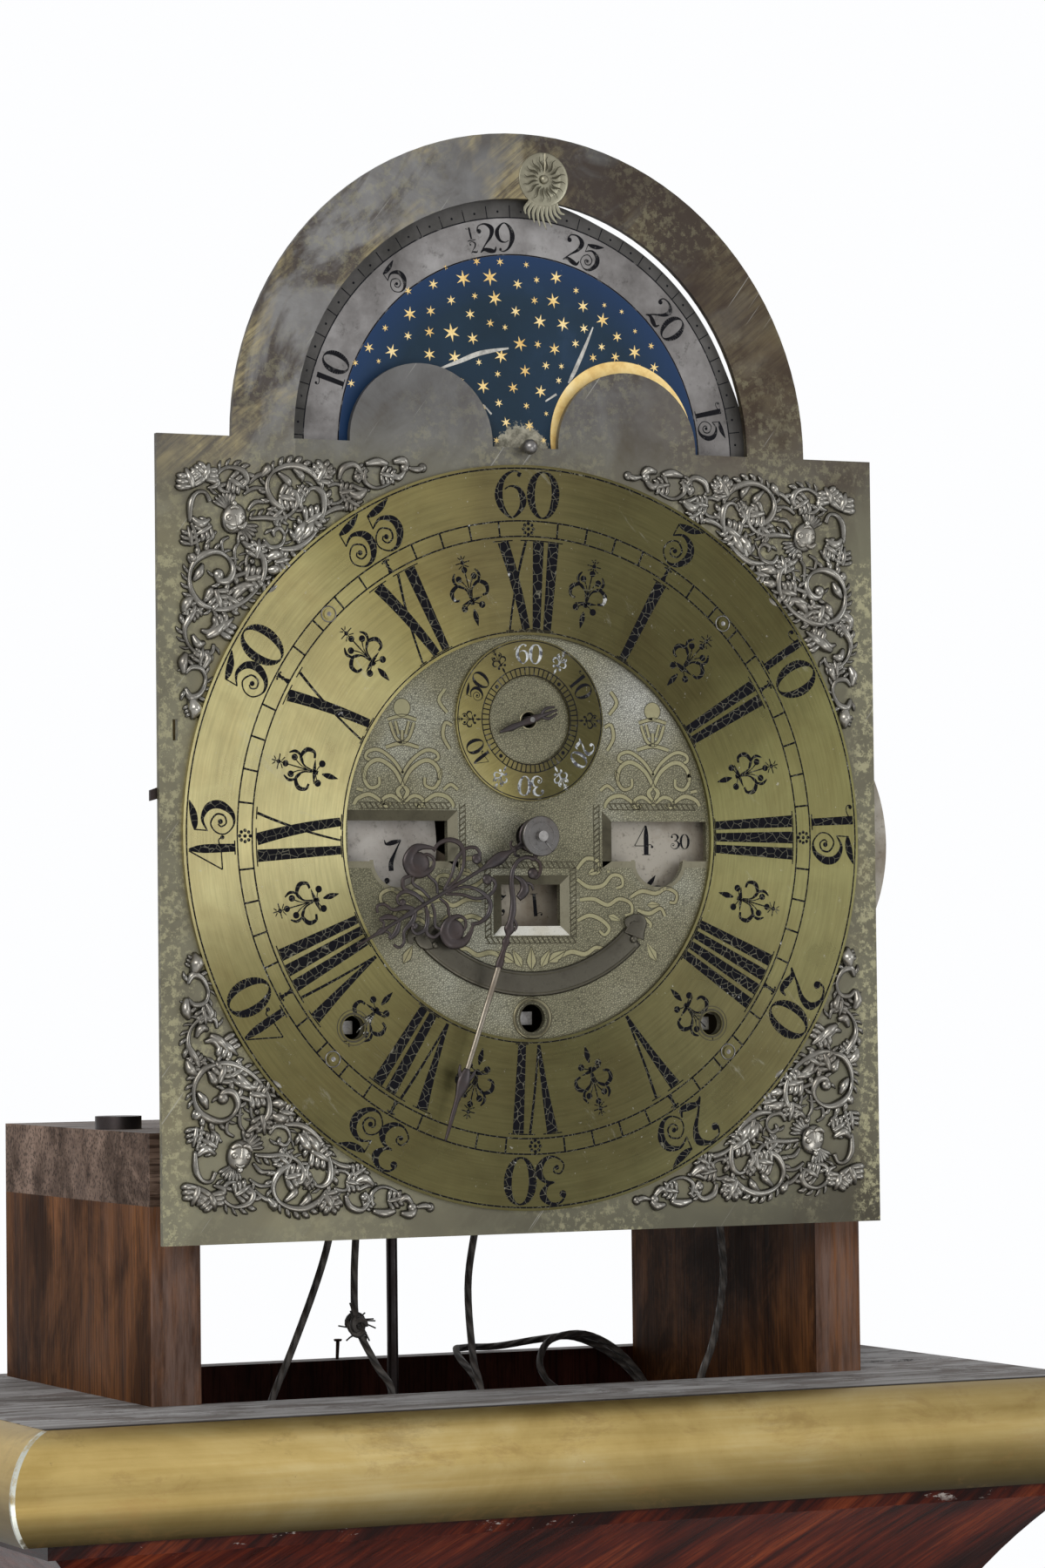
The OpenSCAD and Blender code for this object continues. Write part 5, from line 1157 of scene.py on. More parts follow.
# Stars above the moon centre: across, up and size
STARS = (
    (-24, 66.7, 5.8), (-12.6, 67.8, 6), (-10.6, 59.7, 5.4), (-.8, 65.7, 3.8), (15.8, 69.2, 4.8),
    (7.4, 67.8, 2.6), (14.5, 60, 5.4), (6.4, 59.7, 3), (-1.8, 55, 4), (-19.2, 60.2, 2.6), (-29.2, 58, 3.6),
    (-36.7, 63.8, 3.8), (-47.3, 60.7, 3), (-46.7, 51.9, 5), (-37.9, 53.4, 3.8), (-21.2, 53, 3.8),
    (-12.7, 49.9, 3.2), (-6.4, 48.6, 2.4), (8.6, 51.6, 5), (18.6, 51, 5.2), (27.4, 58.5, 4.4),
    (24.4, 64.5, 2.6), (27.7, 49.8, 3.6), (35.8, 53.5, 5.2), (36.7, 59.4, 2), (42.1, 47.2, 3.8),
    (49.7, 41.5, 5), (41.2, 39.2, 3.6), (31.5, 38.5, 3.2), (35.3, 42.9, 3), (23.9, 43.7, 3.2),
    (14.8, 41.1, 4.4), (7.6, 42.6, 3), (0, 42.5, 5.4), (-8.2, 37.4, 5.2), (-20.2, 43.6, 4.4),
    (-29.2, 45.5, 6.4), (-38.5, 45.3, 4), (-47.6, 43.3, 3.2), (-57.1, 45.9, 2.6), (-64, 38, 3.8),
    (-54.4, 37, 5.2), (-38.6, 36.6, 4.6), (-28, 35.9, 5), (-17.7, 34.5, 2.6), (2, 32, 4.4),
    (-9.7, 30.3, 2.6), (-16, 25.2, 5), (-3.2, 25.2, 4), (8.6, 24.3, 4.6), (16.5, 28.9, 2.6),
    (11, 34.5, 3.2), (17.7, 34.5, 2.4), (-9.4, 19, 3.2), (2.4, 18.4, 2.6), (-6.4, 11.6, 3.8),
    (-16, 17, 2.4), (3.6, 10.7, 3.8), (-10.6, 4.4, 2.6), (9.7, 5.2, 2.4), (10.9, 15.7, 2), (-60, 33, 2),
    (-69.7, 31.9, 2.4), (-71.5, 24, 3), (-25, 27, 2), (-18.2, 73.7, 3.2), (-8.2, 74, 3), (3, 73.5, 2.4),
    (58.2, 35.8, 3.8), (57, 44.3, 2.6), (50, 49.8, 2), (44.2, 57.2, 2), (-31.4, 70.6, 2), (51.4, 36, 2),
)


def star(size):
    """Six narrow rays of four corners each about the origin."""
    ray = [(0, 0), (-.085 * size, .15 * size), (0, .56 * size), (.085 * size, .15 * size)]
    return [shape for k in range(6) for shape in put([ray], turned(60 * k, (0, 0)))]


def add_moon_disc():
    """Cut from sheet, a little larger than the opening but for a worn stretch of its rim."""
    sheet = Relief(0)
    sides = 240
    for y in (MOON_Y + 1.2, MOON_Y):
        for k in range(sides):
            a = 360 * k / sides
            worn = max(0, min(1, (a - 6) / 18, (84 - a) / 18))
            r = 98.8 - 2.1 * worn * worn * (3 - 2 * worn)
            x, z = on_ring(a, MOON_AT, r)(0, 0)
            sheet.verts.append(row(x, y, z))
    sheet.bands(0, sides)
    sheet.faces += [tuple(range(sides)), tuple(range(2 * sides - 1, sides - 1, -1))]
    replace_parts(sheet.made("moon_disc_sheet", moon_paint(), "moon", "painted_disc"), "moon_disc")


def add_moon_painting(wax, gilt, pale):
    rng = random.Random(4)
    face = MOON_Y - FILL
    gold, moons = [], []
    for x, z, size in STARS:
        for flip in (1, -1):
            gold += put(star(size * 1.02), turned(rng.uniform(-14, 14), (flip * x, MOON_AT[1] + flip * z)))
    inlay("moon_disc_stars", gold, face, gilt, "moon", "painted_disc")
    for side in (1, -1):
        moons += disc(*on_ring(MOON_TURN + side * 90, MOON_AT, 44)(0, 0), 31, 72)
    inlay("moon_disc_moons", moons, face - .06, gilt, "moon", "painted_disc")
    marks = arc(*MOON_AT, 77.2, .5) + arc(*MOON_AT, 91.6, .5)
    for half in range(HALF_DAYS):
        place = on_ring(MOON_TURN - 360 / HALF_DAYS * half, MOON_AT, 94)
        marks += put(straight(0, -2.4, 0, 2.4, .4) + disc(3.05 / HALF_DAYS * 94, 0, .5, 8), place)
    for start in (0, LUNATION):
        for day in (5, 10, 15, 20, 25):
            turn = MOON_TURN - (day + start) * 180 / LUNATION
            marks += put(figures(str(day)), on_ring(turn, MOON_AT, 84, .66))
        middle = MOON_TURN - start * 180 / LUNATION
        marks += put(figures("29"), on_ring(middle + 1.6, MOON_AT, 84, .66))
        marks += put(figures("1"), on_ring(middle - 5.4, MOON_AT, 87, .26))
        marks += put(figures("2"), on_ring(middle - 5.4, MOON_AT, 81.4, .26))
        marks += put(straight(-1.8, 0, 1.8, 0, .4), on_ring(middle - 5.4, MOON_AT, 84.2))
    inlay("moon_disc_figures", marks, face, wax, "moon", "painted_disc")
    lost = []
    for points in (((-35, 332.5, .6), (-26, 336, 1.6), (-17, 339.6, 1.8), (-5, 342, .7)),
                   ((31.6, 352, .5), (27.6, 343, 1.4), (23, 333.6, 1.6), (20.6, 329.6, .6)),
                   ((-16, 319.6, .4), (-12.6, 316, .8)), ((10.6, 322, .6), (15.4, 325, .9))):
        lost += stroke(*points)
    inlay("moon_disc_paint_losses", lost, face - .07, pale, "moon", "painted_disc")


def add_calendar_figures(wax):
    """Plain numbers show in the windows; the rest of each ring carries its others."""
    def facing(angle, centre, r, size, upright):
        return turned(angle - upright, on_ring(angle, centre, r)(0, 0), size)

    day, month, date = [], [], []
    for k in range(7):
        day += put(figures(str((6 + k) % 7 + 1)), facing(97 - 360 / 7 * k, WEEKDAY_AT, 38, .68, 97))
        day += put(disc(0, 0, 1.1, 12) + straight(0, -4.5, 0, -1, .8),
                   facing(112 - 360 / 7 * k, WEEKDAY_AT, 38, 1, 97))
    for k in range(12):
        month += put(figures(str((3 + k) % 12 + 1)), facing(-88 - 30 * k, MONTH_AT, 41, .66, -88))
        days = "30" if k in (0, 2, 5, 7) else "31"
        month += put(figures(days), facing(-88 - 30 * k, MONTH_AT, 25, .34, -88))
    for k in range(31):
        date += put(figures(str(k + 1)), on_ring(175.4 + 360 / 31 * k, DATE_AT, 75, .5))
    inlay("weekday_disc_figures", day, DAY_Y - FILL, wax, "weekday", "silvered_brass")
    inlay("month_disc_figures", month, DAY_Y - FILL, wax, "month", "silvered_brass")
    inlay("date_ring_figures", date, DATE_Y - FILL, wax, "date", "silvered_brass")


# The dial centre's right half, mirrored: the urns, what fills the ground between and below the windows,
# and what stands beside the seconds ring, as strokes of (across, up, width)
FOLIAGE = (
    ((53.5, 188, .5), (53.5, 193, .5)), ((47.5, 197, .5), (53.5, 198.4, .5), (59.5, 197, .5)),
    ((48.5, 196, .5), (50.6, 190.4, .5), (53.5, 188.4, .5), (56.4, 190.4, .5), (58.5, 196, .5)),
    ((50.6, 196.4, .4), (52, 191.4, .4)), ((56.4, 196.4, .4), (55, 191.4, .4)),
    ((46.6, 186.4, .5), (53.5, 188, .7), (60.4, 186.4, .5)),
    ((53.5, 172, .7), (50, 178, .8), (44, 181.6, .8), (39.4, 179.6, .8), (38, 174.6, .7), (40.4, 171, .6),
     (44, 172, .5), (44.2, 175, .5)),
    ((53.5, 172, .7), (57, 178, .8), (63, 181.6, .8), (67.8, 179.6, .8), (69.4, 174.6, .7), (67, 171, .6),
     (63.4, 172, .5), (63.2, 175, .5)),
    ((53.5, 176.4, .5), (49.6, 181.6, .6), (43.8, 185.4, .6), (39.6, 184.8, .6), (38.4, 182.6, .5),
     (40.2, 181.4, .5)),
    ((53.5, 176.4, .5), (57.4, 181.6, .6), (63.2, 185.4, .6), (67.6, 184.8, .6), (68.8, 182.6, .5),
     (67, 181.4, .5)),
    ((53.5, 165, .5), (49, 168, .7), (45.2, 166.6, .6), (46, 163.8, .5), (48, 164.6, .4)),
    ((53.5, 165, .5), (58, 168, .7), (61.8, 166.6, .6), (61, 163.8, .5), (59, 164.6, .4)),
    ((45, 165.4, .5), (40, 168.4, .8), (35, 167.6, .8), (32.4, 164.4, .6), (34.6, 162.4, .5)),
    ((62, 165.4, .5), (67, 168.4, .8), (72, 167, .8), (73.8, 164.6, .6)),
    ((36.4, 170.4, .5), (33.4, 172.4, .6), (30.4, 170.4, .5)), ((70, 170, .5), (72.6, 170.6, .5)),
    ((53.5, 166, .4), (51.4, 169.6, 1), (53.5, 172, .3)),
    ((53.5, 166, .4), (55.6, 169.6, 1), (53.5, 172, .3)),
    ((20, 140, .6), (24, 144, .8), (29, 143, .7), (29.4, 139, .6), (26, 138, .5)),
    ((20, 136, .6), (25, 133, .8), (31, 133.6, .8), (35, 137.4, .7), (39, 137, .6), (39.6, 133.6, .5),
     (37, 132.6, .4)),
    ((21, 128, .6), (27, 128.4, .8), (33, 126, .8), (38, 128.4, .7), (43, 126.6, .6), (43.4, 122.8, .5),
     (40.6, 122, .4)),
    ((43, 129, .5), (48, 131.4, .8), (54, 130.4, .8), (58.6, 132.4, .7), (63, 130.4, .6), (62.6, 127, .5),
     (60, 127, .4)),
    ((20, 120, .6), (25, 122, .8), (30, 120.4, .8), (33.6, 117, .7), (31.6, 114.4, .5), (29.4, 116, .4)),
    ((46, 124, .5), (51, 122.6, .8), (56, 124.6, .7), (58, 121.6, .5)),
    ((30, 140, .5), (33, 142, .6), (33.6, 138.6, .5)),
    ((44, 118.6, .5), (47.6, 121, .7), (51.6, 118.6, .6), (50.6, 116, .5)),
    ((11, 105.4, .5), (17, 108, .9), (23, 107, .9), (28, 109.6, .7), (33, 107.6, .6), (32, 104.4, .5),
     (29.6, 105, .4)), ((36, 112.6, .5), (40.4, 113.4, .7), (43.6, 110.6, .6)),
    ((33.6, 186, .5), (36.4, 191, .7), (35.4, 196, .6), (32.6, 195, .5)),
    ((34.6, 200, .5), (38, 204.6, .7), (35.4, 209, .5)),
)
# Leaves: foot, heading and length
LEAVES = (
    (0, 101, 0, 9), (-7, 104, -60, 9), (7, 104, 60, 9), (-4, 102, -30, 8), (4, 102, 30, 8),
    (-54, 104, 30, 8), (54, 104, -30, 8), (24.5, 138, 70, 6), (-24.5, 138, -70, 6), (33, 122, 110, 6),
    (-33, 122, -110, 6), (38.6, 174, -20, 5), (-38.6, 174, 20, 5), (68.6, 174, 20, 5), (-68.6, 174, -20, 5),
    (50, 126, 90, 6), (-50, 126, -90, 6), (58, 165, 100, 6), (-58, 165, -100, 6), (49, 165, -100, 6),
    (-49, 165, 100, 6),
)


def cable(x0, z0, x1, z1, pitch=2.2, w=2.4):
    """A twisted border: slanting dashes between two lines."""
    length = math.hypot(x1 - x0, z1 - z0)
    shapes = straight(-w / 2, 0, -w / 2, length, .35) + straight(w / 2, 0, w / 2, length, .35)
    count = round(length / pitch)
    for k in range(count):
        s = length * (k + .5) / count
        shapes += straight(-w / 2, s - w * .35, w / 2, s + w * .35, .5)
    return put(shapes, turned(math.degrees(math.atan2(x1 - x0, z1 - z0)), (x0, z0)))


def covered(x, z):
    """Over a window or its frame."""
    if abs(x) < 16.6 and 114 < z < 138.6:
        return True
    return 31 < abs(x) < 79 and (140 < z < 162.8 or math.hypot(abs(x) - 55.5, z - 144) < 11)


def add_centre_engraving(bright, dark):
    """Scrolls, leaves and twisted borders, bright with a dark outline, clear of holes and windows."""
    light, outline = [], []
    for points in FOLIAGE:
        for s in (1, -1):
            light += stroke(*[(s * x, z, 1.25 * w + .55) for x, z, w in points], parts=4)
            run = smooth([(s * x, z, w) for x, z, w in points], 4)
            sides = edges([(x, z, 1.25 * w + .8) for x, z, w in run])
            for k in (0, 1):
                outline += stroke(*[(*pair[k], .3) for pair in sides], parts=1)
    blade = [[(0, 0), (1.7, 3), (1.1, 5.6), (0, 8), (-1.1, 5.6), (-1.7, 3)]]
    veins = straight(0, .4, 0, 7.2, .25)
    for s in (1, -1):
        veins += stroke((0, 0, .22), (s * 1.9, 3, .22), (0, 8.1, .22), parts=4)
    for x, z, heading, length in LEAVES:
        place = turned(heading, (x, z), length / 8)
        light += put(blade, place)
        outline += put(veins, place)
    for s in (1, -1):
        light += disc(s * 53.5, 201.6, 3.4, 20)
        outline += arc(s * 53.5, 201.6, 3.5, .25, step=12)
    for s in (1, -1):
        outline += cable(s * 34, 164.2, s * 72, 164.2) + cable(s * 28.6, 139, s * 28.6, 165)
        outline += cable(s * 18.2, 113.4, s * 18.2, 141)
    outline += cable(-19.4, 141.6, 19.4, 141.6) + cable(-19.4, 112.6, 19.4, 112.6)
    holes = ((*WINDING[1], 8), (*SECONDS_AT, 31.6), (-41, 111, 3), (45, 112.5, 8))
    keep = lambda shapes: [s for s in within(outside(shapes, *holes), 77) if not any(covered(*p) for p in s)]
    inlay("dial_centre_scrollwork", keep(light), CENTRE_FACE, bright, slot="dial_brass")
    inlay("dial_centre_outlines", keep(outline), CENTRE_FACE - .05, dark, slot="dial_brass")


# The date, weekday and month windows: left, right, bottom and top, and how wide their borders are there
WINDOWS = ((-12.5, 12.5, 118, 134, (3.4, 4, 3.6, 3.6)), (-76.5, -35, 143, 158.5, (0, 4.4, 2.6, 4)),
           (35, 76.5, 143, 158.5, (4, 1.6, 2.6, 4)))


def frame_strip(x0, x1, z0, z1, wide):
    """Four mitred faces of a sunk border, as bottom, right, top, left."""
    corners = lambda x0, x1, z0, z1: ((x0, z0), (x1, z0), (x1, z1), (x0, z1))
    left, right, low, high = wide
    a, b, c, d = corners(x0, x1, z0, z1)
    e, f, g, h = corners(x0 - left, x1 + right, z0 - low, z1 + high)
    return [e, f, b, a], [b, f, g, c], [d, c, g, h], [e, a, d, h]


def add_window_frames(lit, sunk, dark):
    """Hollowed borders drawn flat with painted light and shade: the sills are painted lit, the right faces
    and side sills half lit, and the heads and left faces in shade.
    """
    sills, side_sills, rights, heads, lefts = [], [], [], [], []
    for x0, x1, z0, z1, wide in WINDOWS:
        low, right, high, left = frame_strip(x0, x1, z0, z1, wide)
        rights.append(right)
        heads.append(high)
        lefts.append(left)
        if x0 < 0 < x1:
            sills.append(low)
            continue
        # the sill of a side window stops at the round bay below it
        middle = (x0 + x1) / 2
        for a, b in ((x0 - wide[0], middle - 10.4), (middle + 11.4, x1 + wide[1])):
            side_sills.append([(a, z0 - wide[2]), (b, z0 - wide[2]), (b, z0), (a, z0)])
    for s in (1, -1):
        side_sills += arc(s * 55.5, 143.5, 11.3, 1.5, 180, 360, 8)
    for name, shapes, material in (
            ("window_sills", sills, lit), ("side_window_sills", side_sills, sunk),
            ("window_right_faces", within(rights, 78.6), sunk), ("window_heads", within(heads, 78.6), dark),
            ("window_left_faces", lefts, dark)):
        inlay(name, shapes, WINDOW_FACE, material, slot="dial_brass")


def add_ribbon(material, pale, dark):
    """A plain ribbon with curled ends below the dial's centre, and a sun medallion in the arch."""
    at = lambda a, r: (r * math.sin(math.radians(a)), 157.5 - r * math.cos(math.radians(a)))
    ribbon = Relief(0, .05)
    ribbon.sweep([(*at(a, 61.8), 9.6) for a in range(-47, 46, 4)], parts=2, lift=.6)
    ribbon.sweep([(*at(45, 61.8), 9.4), (44.6, 116, 8), (46.6, 119.6, 5.5), (44.4, 121, 3), (41, 119.6, 2.4),
                  (41.6, 117.4, 1.6)], lift=1.2)
    ribbon.sweep([(*at(-45, 61.8), 9.4), (-45.4, 113.4, 8), (-48.6, 116.4, 5), (-51.6, 114, 2.6),
                  (-50.4, 111.6, 1.8)], lift=1.1)
    for x, z in ((-41, 111), (43.6, 112.6)):
        ribbon.knob(x, z, 1.5, .8, lift=1.4)
    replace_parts(ribbon.made("dial_ribbon", material, slot="dial_brass"), "dial_ribbon_and_medallion")

    medal = Relief(0, .05)
    medal.sweep(circle(*MEDAL_AT, 8.2, 5, [k / 6 for k in range(39)]), parts=1)
    medal.sweep(circle(*MEDAL_AT, 4, 8.2, [k / 4 for k in range(26)]), parts=1)
    for k in range(9):
        a = math.radians(180 + 8 * (k - 4))
        ray = ((9, 0, 1.6), (14, .06, 1.3), (19.5 - abs(k - 4) * .9, -.05, .4))
        medal.sweep([point for r, bend, w in ray for point in circle(*MEDAL_AT, r, w, [a + bend])], parts=3,
                    round_=.6)
    medal.knob(*MEDAL_AT, 1.8, 1.4, lift=.6)
    medal.made("dial_medallion", pale, slot="dial_brass")

    lines = []
    for r in (58.2, 65.4):
        for a in range(-43, 42, 2):
            lines += straight(*at(a, r), *at(a + 2, r), .35)
    for k in range(16):
        ray = stroke((0, 3.2, .3), (.5, 5, .8), (-.3, 7.4, .4), (.3, 9, .2), parts=3)
        lines += put(ray, turned(22.5 * k + 7, MEDAL_AT))
    inlay("ribbon_and_medallion_lines", lines, MEDAL_FACE, dark, slot="dial_brass")


def add_fittings(steel, bright, dark):
    """The moon's stud, the chapter ring's pins and the rims of the holes in the dial."""
    stud = Relief(0, .8)
    stud.knob(0, 303, 3.1, 3.6, lift=3.6)
    for angle in (45, 135, 225, 315):
        x, z = on_ring(angle, HANDS_AT, 119)(0, 0)
        stud.knob(x, z, 1.9, .7, lift=1.6)
        stud.sweep(circle(x, z, 3, .5, [k / 3 for k in range(20)]), parts=1, lift=1.6)
    stud.made("dial_pins_and_stud", steel)
    rims = []
    for x, z in WINDING:
        r = 5.5 if x == 0 else 4.6
        rims += arc(x, z, r + .7, .8, step=10) + arc(x, z, r + 2.1, .35, step=10)
    inlay("winding_hole_rims", rims, RING_FACE - 2 * FILL, dark)
    collar = Relief(0, .3)
    for at, r, w in ((SECONDS_AT, 3.4, .9), (WINDING[1], 7.4, 1.6)):
        collar.sweep(circle(*at, r, w, [k / 5 for k in range(33)]), parts=1)
    collar.made("dial_collars", bright, slot="dial_brass")


def add_dial_engraving():
    wax, ink, gilt, pale = wax_paint(), ink_paint(), gilt_paint(), pale_paint()
    add_chapter_engraving(wax)
    add_seconds_engraving(ink, chalk_paint())
    add_moon_disc()
    add_moon_painting(ink, gilt, pale)
    add_calendar_figures(ink)
    cut = metal("cut_lines_and_painted_shade")
    add_centre_engraving(metal("polished_lines"), cut)
    # the window borders get painted light and shade
    add_window_frames(metal("lit_faces"), metal("sunk_faces"), cut)
    add_ribbon(metal("ribbon_brass"), metal("medallion_brass"), cut)
    add_fittings(metal("polished_steel"), metal("ground_collars"), cut)


# Strokes of the lower left casting: (across, up, width)
UPRIGHT_ARM = (
    ((-139.2, 109, 1.5), (-138.6, 105, 4.6), (-139.6, 101, 3)),
    ((-142, 97, 1.6), (-140, 100.6, 2.6), (-136, 99, 2.6), (-133.8, 94, 2.4), (-135.4, 90, 2.2),
     (-139.6, 89.4, 2), (-142.2, 92, 1.6)), ((-142.4, 92, 2), (-143, 87.6, 3.2), (-141.4, 84, 2)),
    ((-135, 90, 2), (-133, 86, 2.8), (-134.5, 83.4, 1.6)),
    ((-130.4, 80.4, 1.4), (-131.6, 84, 1.8), (-136.6, 84.4, 2.2), (-141, 80.4, 2.4), (-142.2, 75, 2.4),
     (-140, 70.6, 2.6), (-137.4, 67.4, 2)), ((-139, 77, 1.6), (-137, 80.6, 3), (-134, 80, 2)),
    ((-135.6, 75.4, 1.6), (-132, 76, 2.6), (-129.4, 72, 2.2), (-130.4, 68, 1.8)),
    ((-133.6, 78, 2.4), (-130, 76, 3.4), (-127, 73, 3), (-125, 69.4, 2)),
    ((-142.6, 69, 2), (-141.4, 65.4, 3.4), (-138.4, 63.4, 2.4), (-135, 66, 1.8)),
)
GREAT_SCROLL = (
    ((-131, 67, 2), (-136, 65.4, 2.4), (-139.4, 60.6, 2.7), (-140, 55, 2.7), (-138.2, 50, 2.7),
     (-134, 46.8, 2.8), (-129, 45.8, 2.8), (-124.6, 47.8, 2.6), (-122.4, 52, 2.6), (-124.4, 56.4, 2.8),
     (-128.4, 56.6, 3), (-129.6, 53, 2.4)), ((-138.6, 57, 1.6), (-136.2, 54, 3), (-134.6, 50.4, 1.6)),
    ((-134.4, 65, 1.5), (-132, 61, 3), (-131.4, 58.6, 1)),
    ((-131, 67.4, 2), (-125, 67.2, 2.4), (-118, 64, 2.6), (-112.6, 59, 2.8), (-110, 53.6, 2.6),
     (-110.2, 48, 2.4), (-113.4, 45, 2.2), (-116.6, 47, 2), (-117, 51, 1.8), (-114.4, 52.6, 1.6)),
    ((-123, 64.4, 1.4), (-120.4, 60.4, 3.2), (-115.6, 58, 2)),
    ((-122.6, 60, 2.6), (-118, 58.4, 3), (-113, 58, 1.6)),
    ((-126, 56, 2), (-119, 54, 1.8), (-113, 51.6, 1.8)),
    ((-109, 52, 2), (-106, 52, 3.4), (-102.4, 51, 1.4)),
    ((-109, 48, 2.4), (-105.6, 46.4, 3.6), (-101.4, 46.8, 1.4)),
)
STRUTS = (
    ((-136.6, 45, 1.6), (-137.6, 40, 1.6), (-139, 35, 1.8)),
    ((-134, 44, 1.4), (-131.6, 41, 1.6), (-129, 38, 1.4)),
    ((-126.4, 46, 1.4), (-127, 42, 1.4), (-124, 40, 1.4)),
    ((-121.4, 51, 1.4), (-121.8, 45, 1.4), (-120, 42, 1.4)),
    ((-119, 41, 1.6), (-116, 43.4, 2.4), (-113, 41.4, 1.6)),
    ((-139.4, 46.6, 2.4), (-138.6, 48.6, 3), (-137, 50, 1.6)),
)
CORNER = (
    ((-139.6, 35, 1.8), (-139.4, 28, 2.2), (-137, 24, 2.2), (-133.4, 23.6, 2.6), (-131.6, 27, 2.2)),
    ((-139, 33, 2), (-135.6, 35.6, 3.2), (-131.4, 33.4, 1.8)),
    ((-132.6, 22, 1.4), (-128.6, 20.6, 2.2), (-128.6, 16.6, 2.2), (-124, 13.8, 2.6), (-118.4, 15, 3),
     (-116.6, 18.6, 2.2), (-119, 21.4, 1.6)), ((-131, 17, 1.8), (-127, 22.6, 1.8), (-123, 23, 1.4)),
)
LEVEL_ARM = (
    ((-116, 33, 1.8), (-110, 32.4, 2), (-104, 32.6, 2.4), (-98.6, 30.4, 2.8), (-96.2, 26, 2.8),
     (-97.4, 22.4, 2.4), (-100.4, 22.6, 2)),
    ((-101, 29, 2.4), (-106, 26.4, 2.6), (-108.6, 21, 2.7), (-106.6, 15.6, 2.7), (-101, 12.6, 2.8),
     (-95, 12.6, 2.7), (-89.6, 15.4, 2.7), (-86.6, 19.4, 2.4)),
    ((-104, 15, 1.6), (-100, 18.4, 2.8), (-99.4, 21, 1)),
    ((-98, 13, 1.6), (-94.6, 16, 2.8), (-94, 18.6, 1)),
    ((-116.4, 30, 1.4), (-113.4, 26.6, 1.8), (-109.4, 26.6, 1.6)),
    ((-118, 24, 1.4), (-114, 21.4, 1.6), (-109, 21.4, 1.6)),
    ((-116, 20, 1.4), (-112, 16.4, 1.8), (-107, 15.4, 1.4)),
    ((-111, 17, 1.6), (-108.4, 14, 3), (-108, 11.6, 1.2)),
    ((-110, 40.4, 1.6), (-107.4, 43.6, 2), (-103, 42.6, 2.2), (-101.4, 39, 2), (-103.4, 36.2, 2),
     (-106, 37.4, 1.8), (-105.4, 39.4, 1.4)),
    ((-104, 44, 2), (-97, 43.6, 2.4), (-91, 39.6, 2.7), (-87, 34, 2.8), (-85.2, 28, 2.7),
     (-85.8, 22.6, 2.6), (-89, 20.4, 2.4), (-92.4, 21.6, 2)),
    ((-98, 41, 1.4), (-95.4, 36.6, 3.6), (-92.6, 32.6, 1.2)),
    ((-95, 40.6, 1.4), (-91.6, 36.4, 3.4), (-89.8, 31.6, 1.2)),
    ((-93, 29.6, 1.2), (-95.4, 26, 2.4), (-93, 22, 1.6)),
    ((-86, 31, 1.6), (-81.6, 28.4, 2), (-77.6, 27.6, 2.8), (-76.6, 29, 1.6)),
    ((-85, 22, 1.8), (-83, 26, 1.6), (-78.4, 25.4, 1.8), (-76.6, 21.4, 2), (-79.4, 18.6, 1.8),
     (-84, 19.4, 1.8)),
    ((-79, 17, 1.8), (-77.4, 12.6, 2.4), (-72.6, 11, 2.8), (-69.6, 14.4, 2.8), (-71.4, 17.8, 2.2)),
    ((-75.6, 21, 1.6), (-71.4, 23, 3.4), (-67.6, 20, 2.4)),
    ((-74, 18.6, 1.8), (-70, 20.4, 2), (-66, 20.6, 1.4)),
    ((-67.6, 12, 1.6), (-68.4, 17, 1.8), (-64, 19.6, 1.8), (-58.6, 18, 2.2), (-56, 15, 2)),
    ((-68, 10.6, 2), (-63, 9.6, 3), (-58.6, 10.4, 2.4)),
    ((-57.4, 13, 1.6), (-54.4, 15.4, 2.6), (-51.4, 12.4, 2)),
    ((-56.4, 9.4, 2), (-52.4, 8.8, 3), (-50, 11, 2)),
    ((-50, 11.4, 1.6), (-46.4, 12, 2.2), (-44, 11.2, 2.6)),
)
# Leaves: foot, heading, length and width
ACANTHUS = (
    (-137.6, 66, -30, 7, 6), (-129, 76, 130, 9, 8), (-126, 62, 60, 9, 7), (-110, 62, 130, 10, 6),
    (-106, 49, 100, 8, 7), (-138.4, 22, 200, 8, 9), (-134, 19, 160, 7, 9), (-101.6, 28.6, -50, 8, 6),
    (-96, 42, 160, 12, 7), (-88, 18, 150, 9, 8), (-84, 17, 200, 8, 7), (-76, 24, 60, 8, 6),
    (-131, 36, -60, 8, 7), (-92.4, 24, 220, 6, 5), (-139.4, 103, 0, 6, 5), (-72, 12.6, 60, 6, 5),
    (-130, 60, 20, 9, 8), (-118, 56, 100, 9, 8), (-113, 48, 170, 8, 7), (-139, 44, -170, 8, 6),
    (-104, 24, 80, 9, 8), (-93, 34, 120, 10, 8), (-124, 18, 60, 8, 7), (-79, 22, 100, 8, 6),
    (-62, 14, 80, 8, 6), (-136, 88, 170, 7, 6),
)
# Two fans over the boss: foot, heading, degrees between leaves, reach and width
FANS = ((-124, 30, 200, 14, 5.4, 2), (-119.4, 35.4, 40, 16, 5.6, 2.2))
BOSS_RIDGES = (
    ((-126, 35.6, 1.2), (-123.8, 37, 2.2), (-121.6, 36.2, 1.2)),
    ((-121.4, 36.2, 1.2), (-119.4, 36.4, 2.2), (-117.6, 34.4, 1.2)),
    ((-121.6, 36, 1), (-121.8, 33.4, 1.6), (-122.2, 31.8, 1.9)),
    ((-124.2, 29.6, .8), (-122.6, 28.8, 1.4), (-120.6, 29.4, .8)),
)
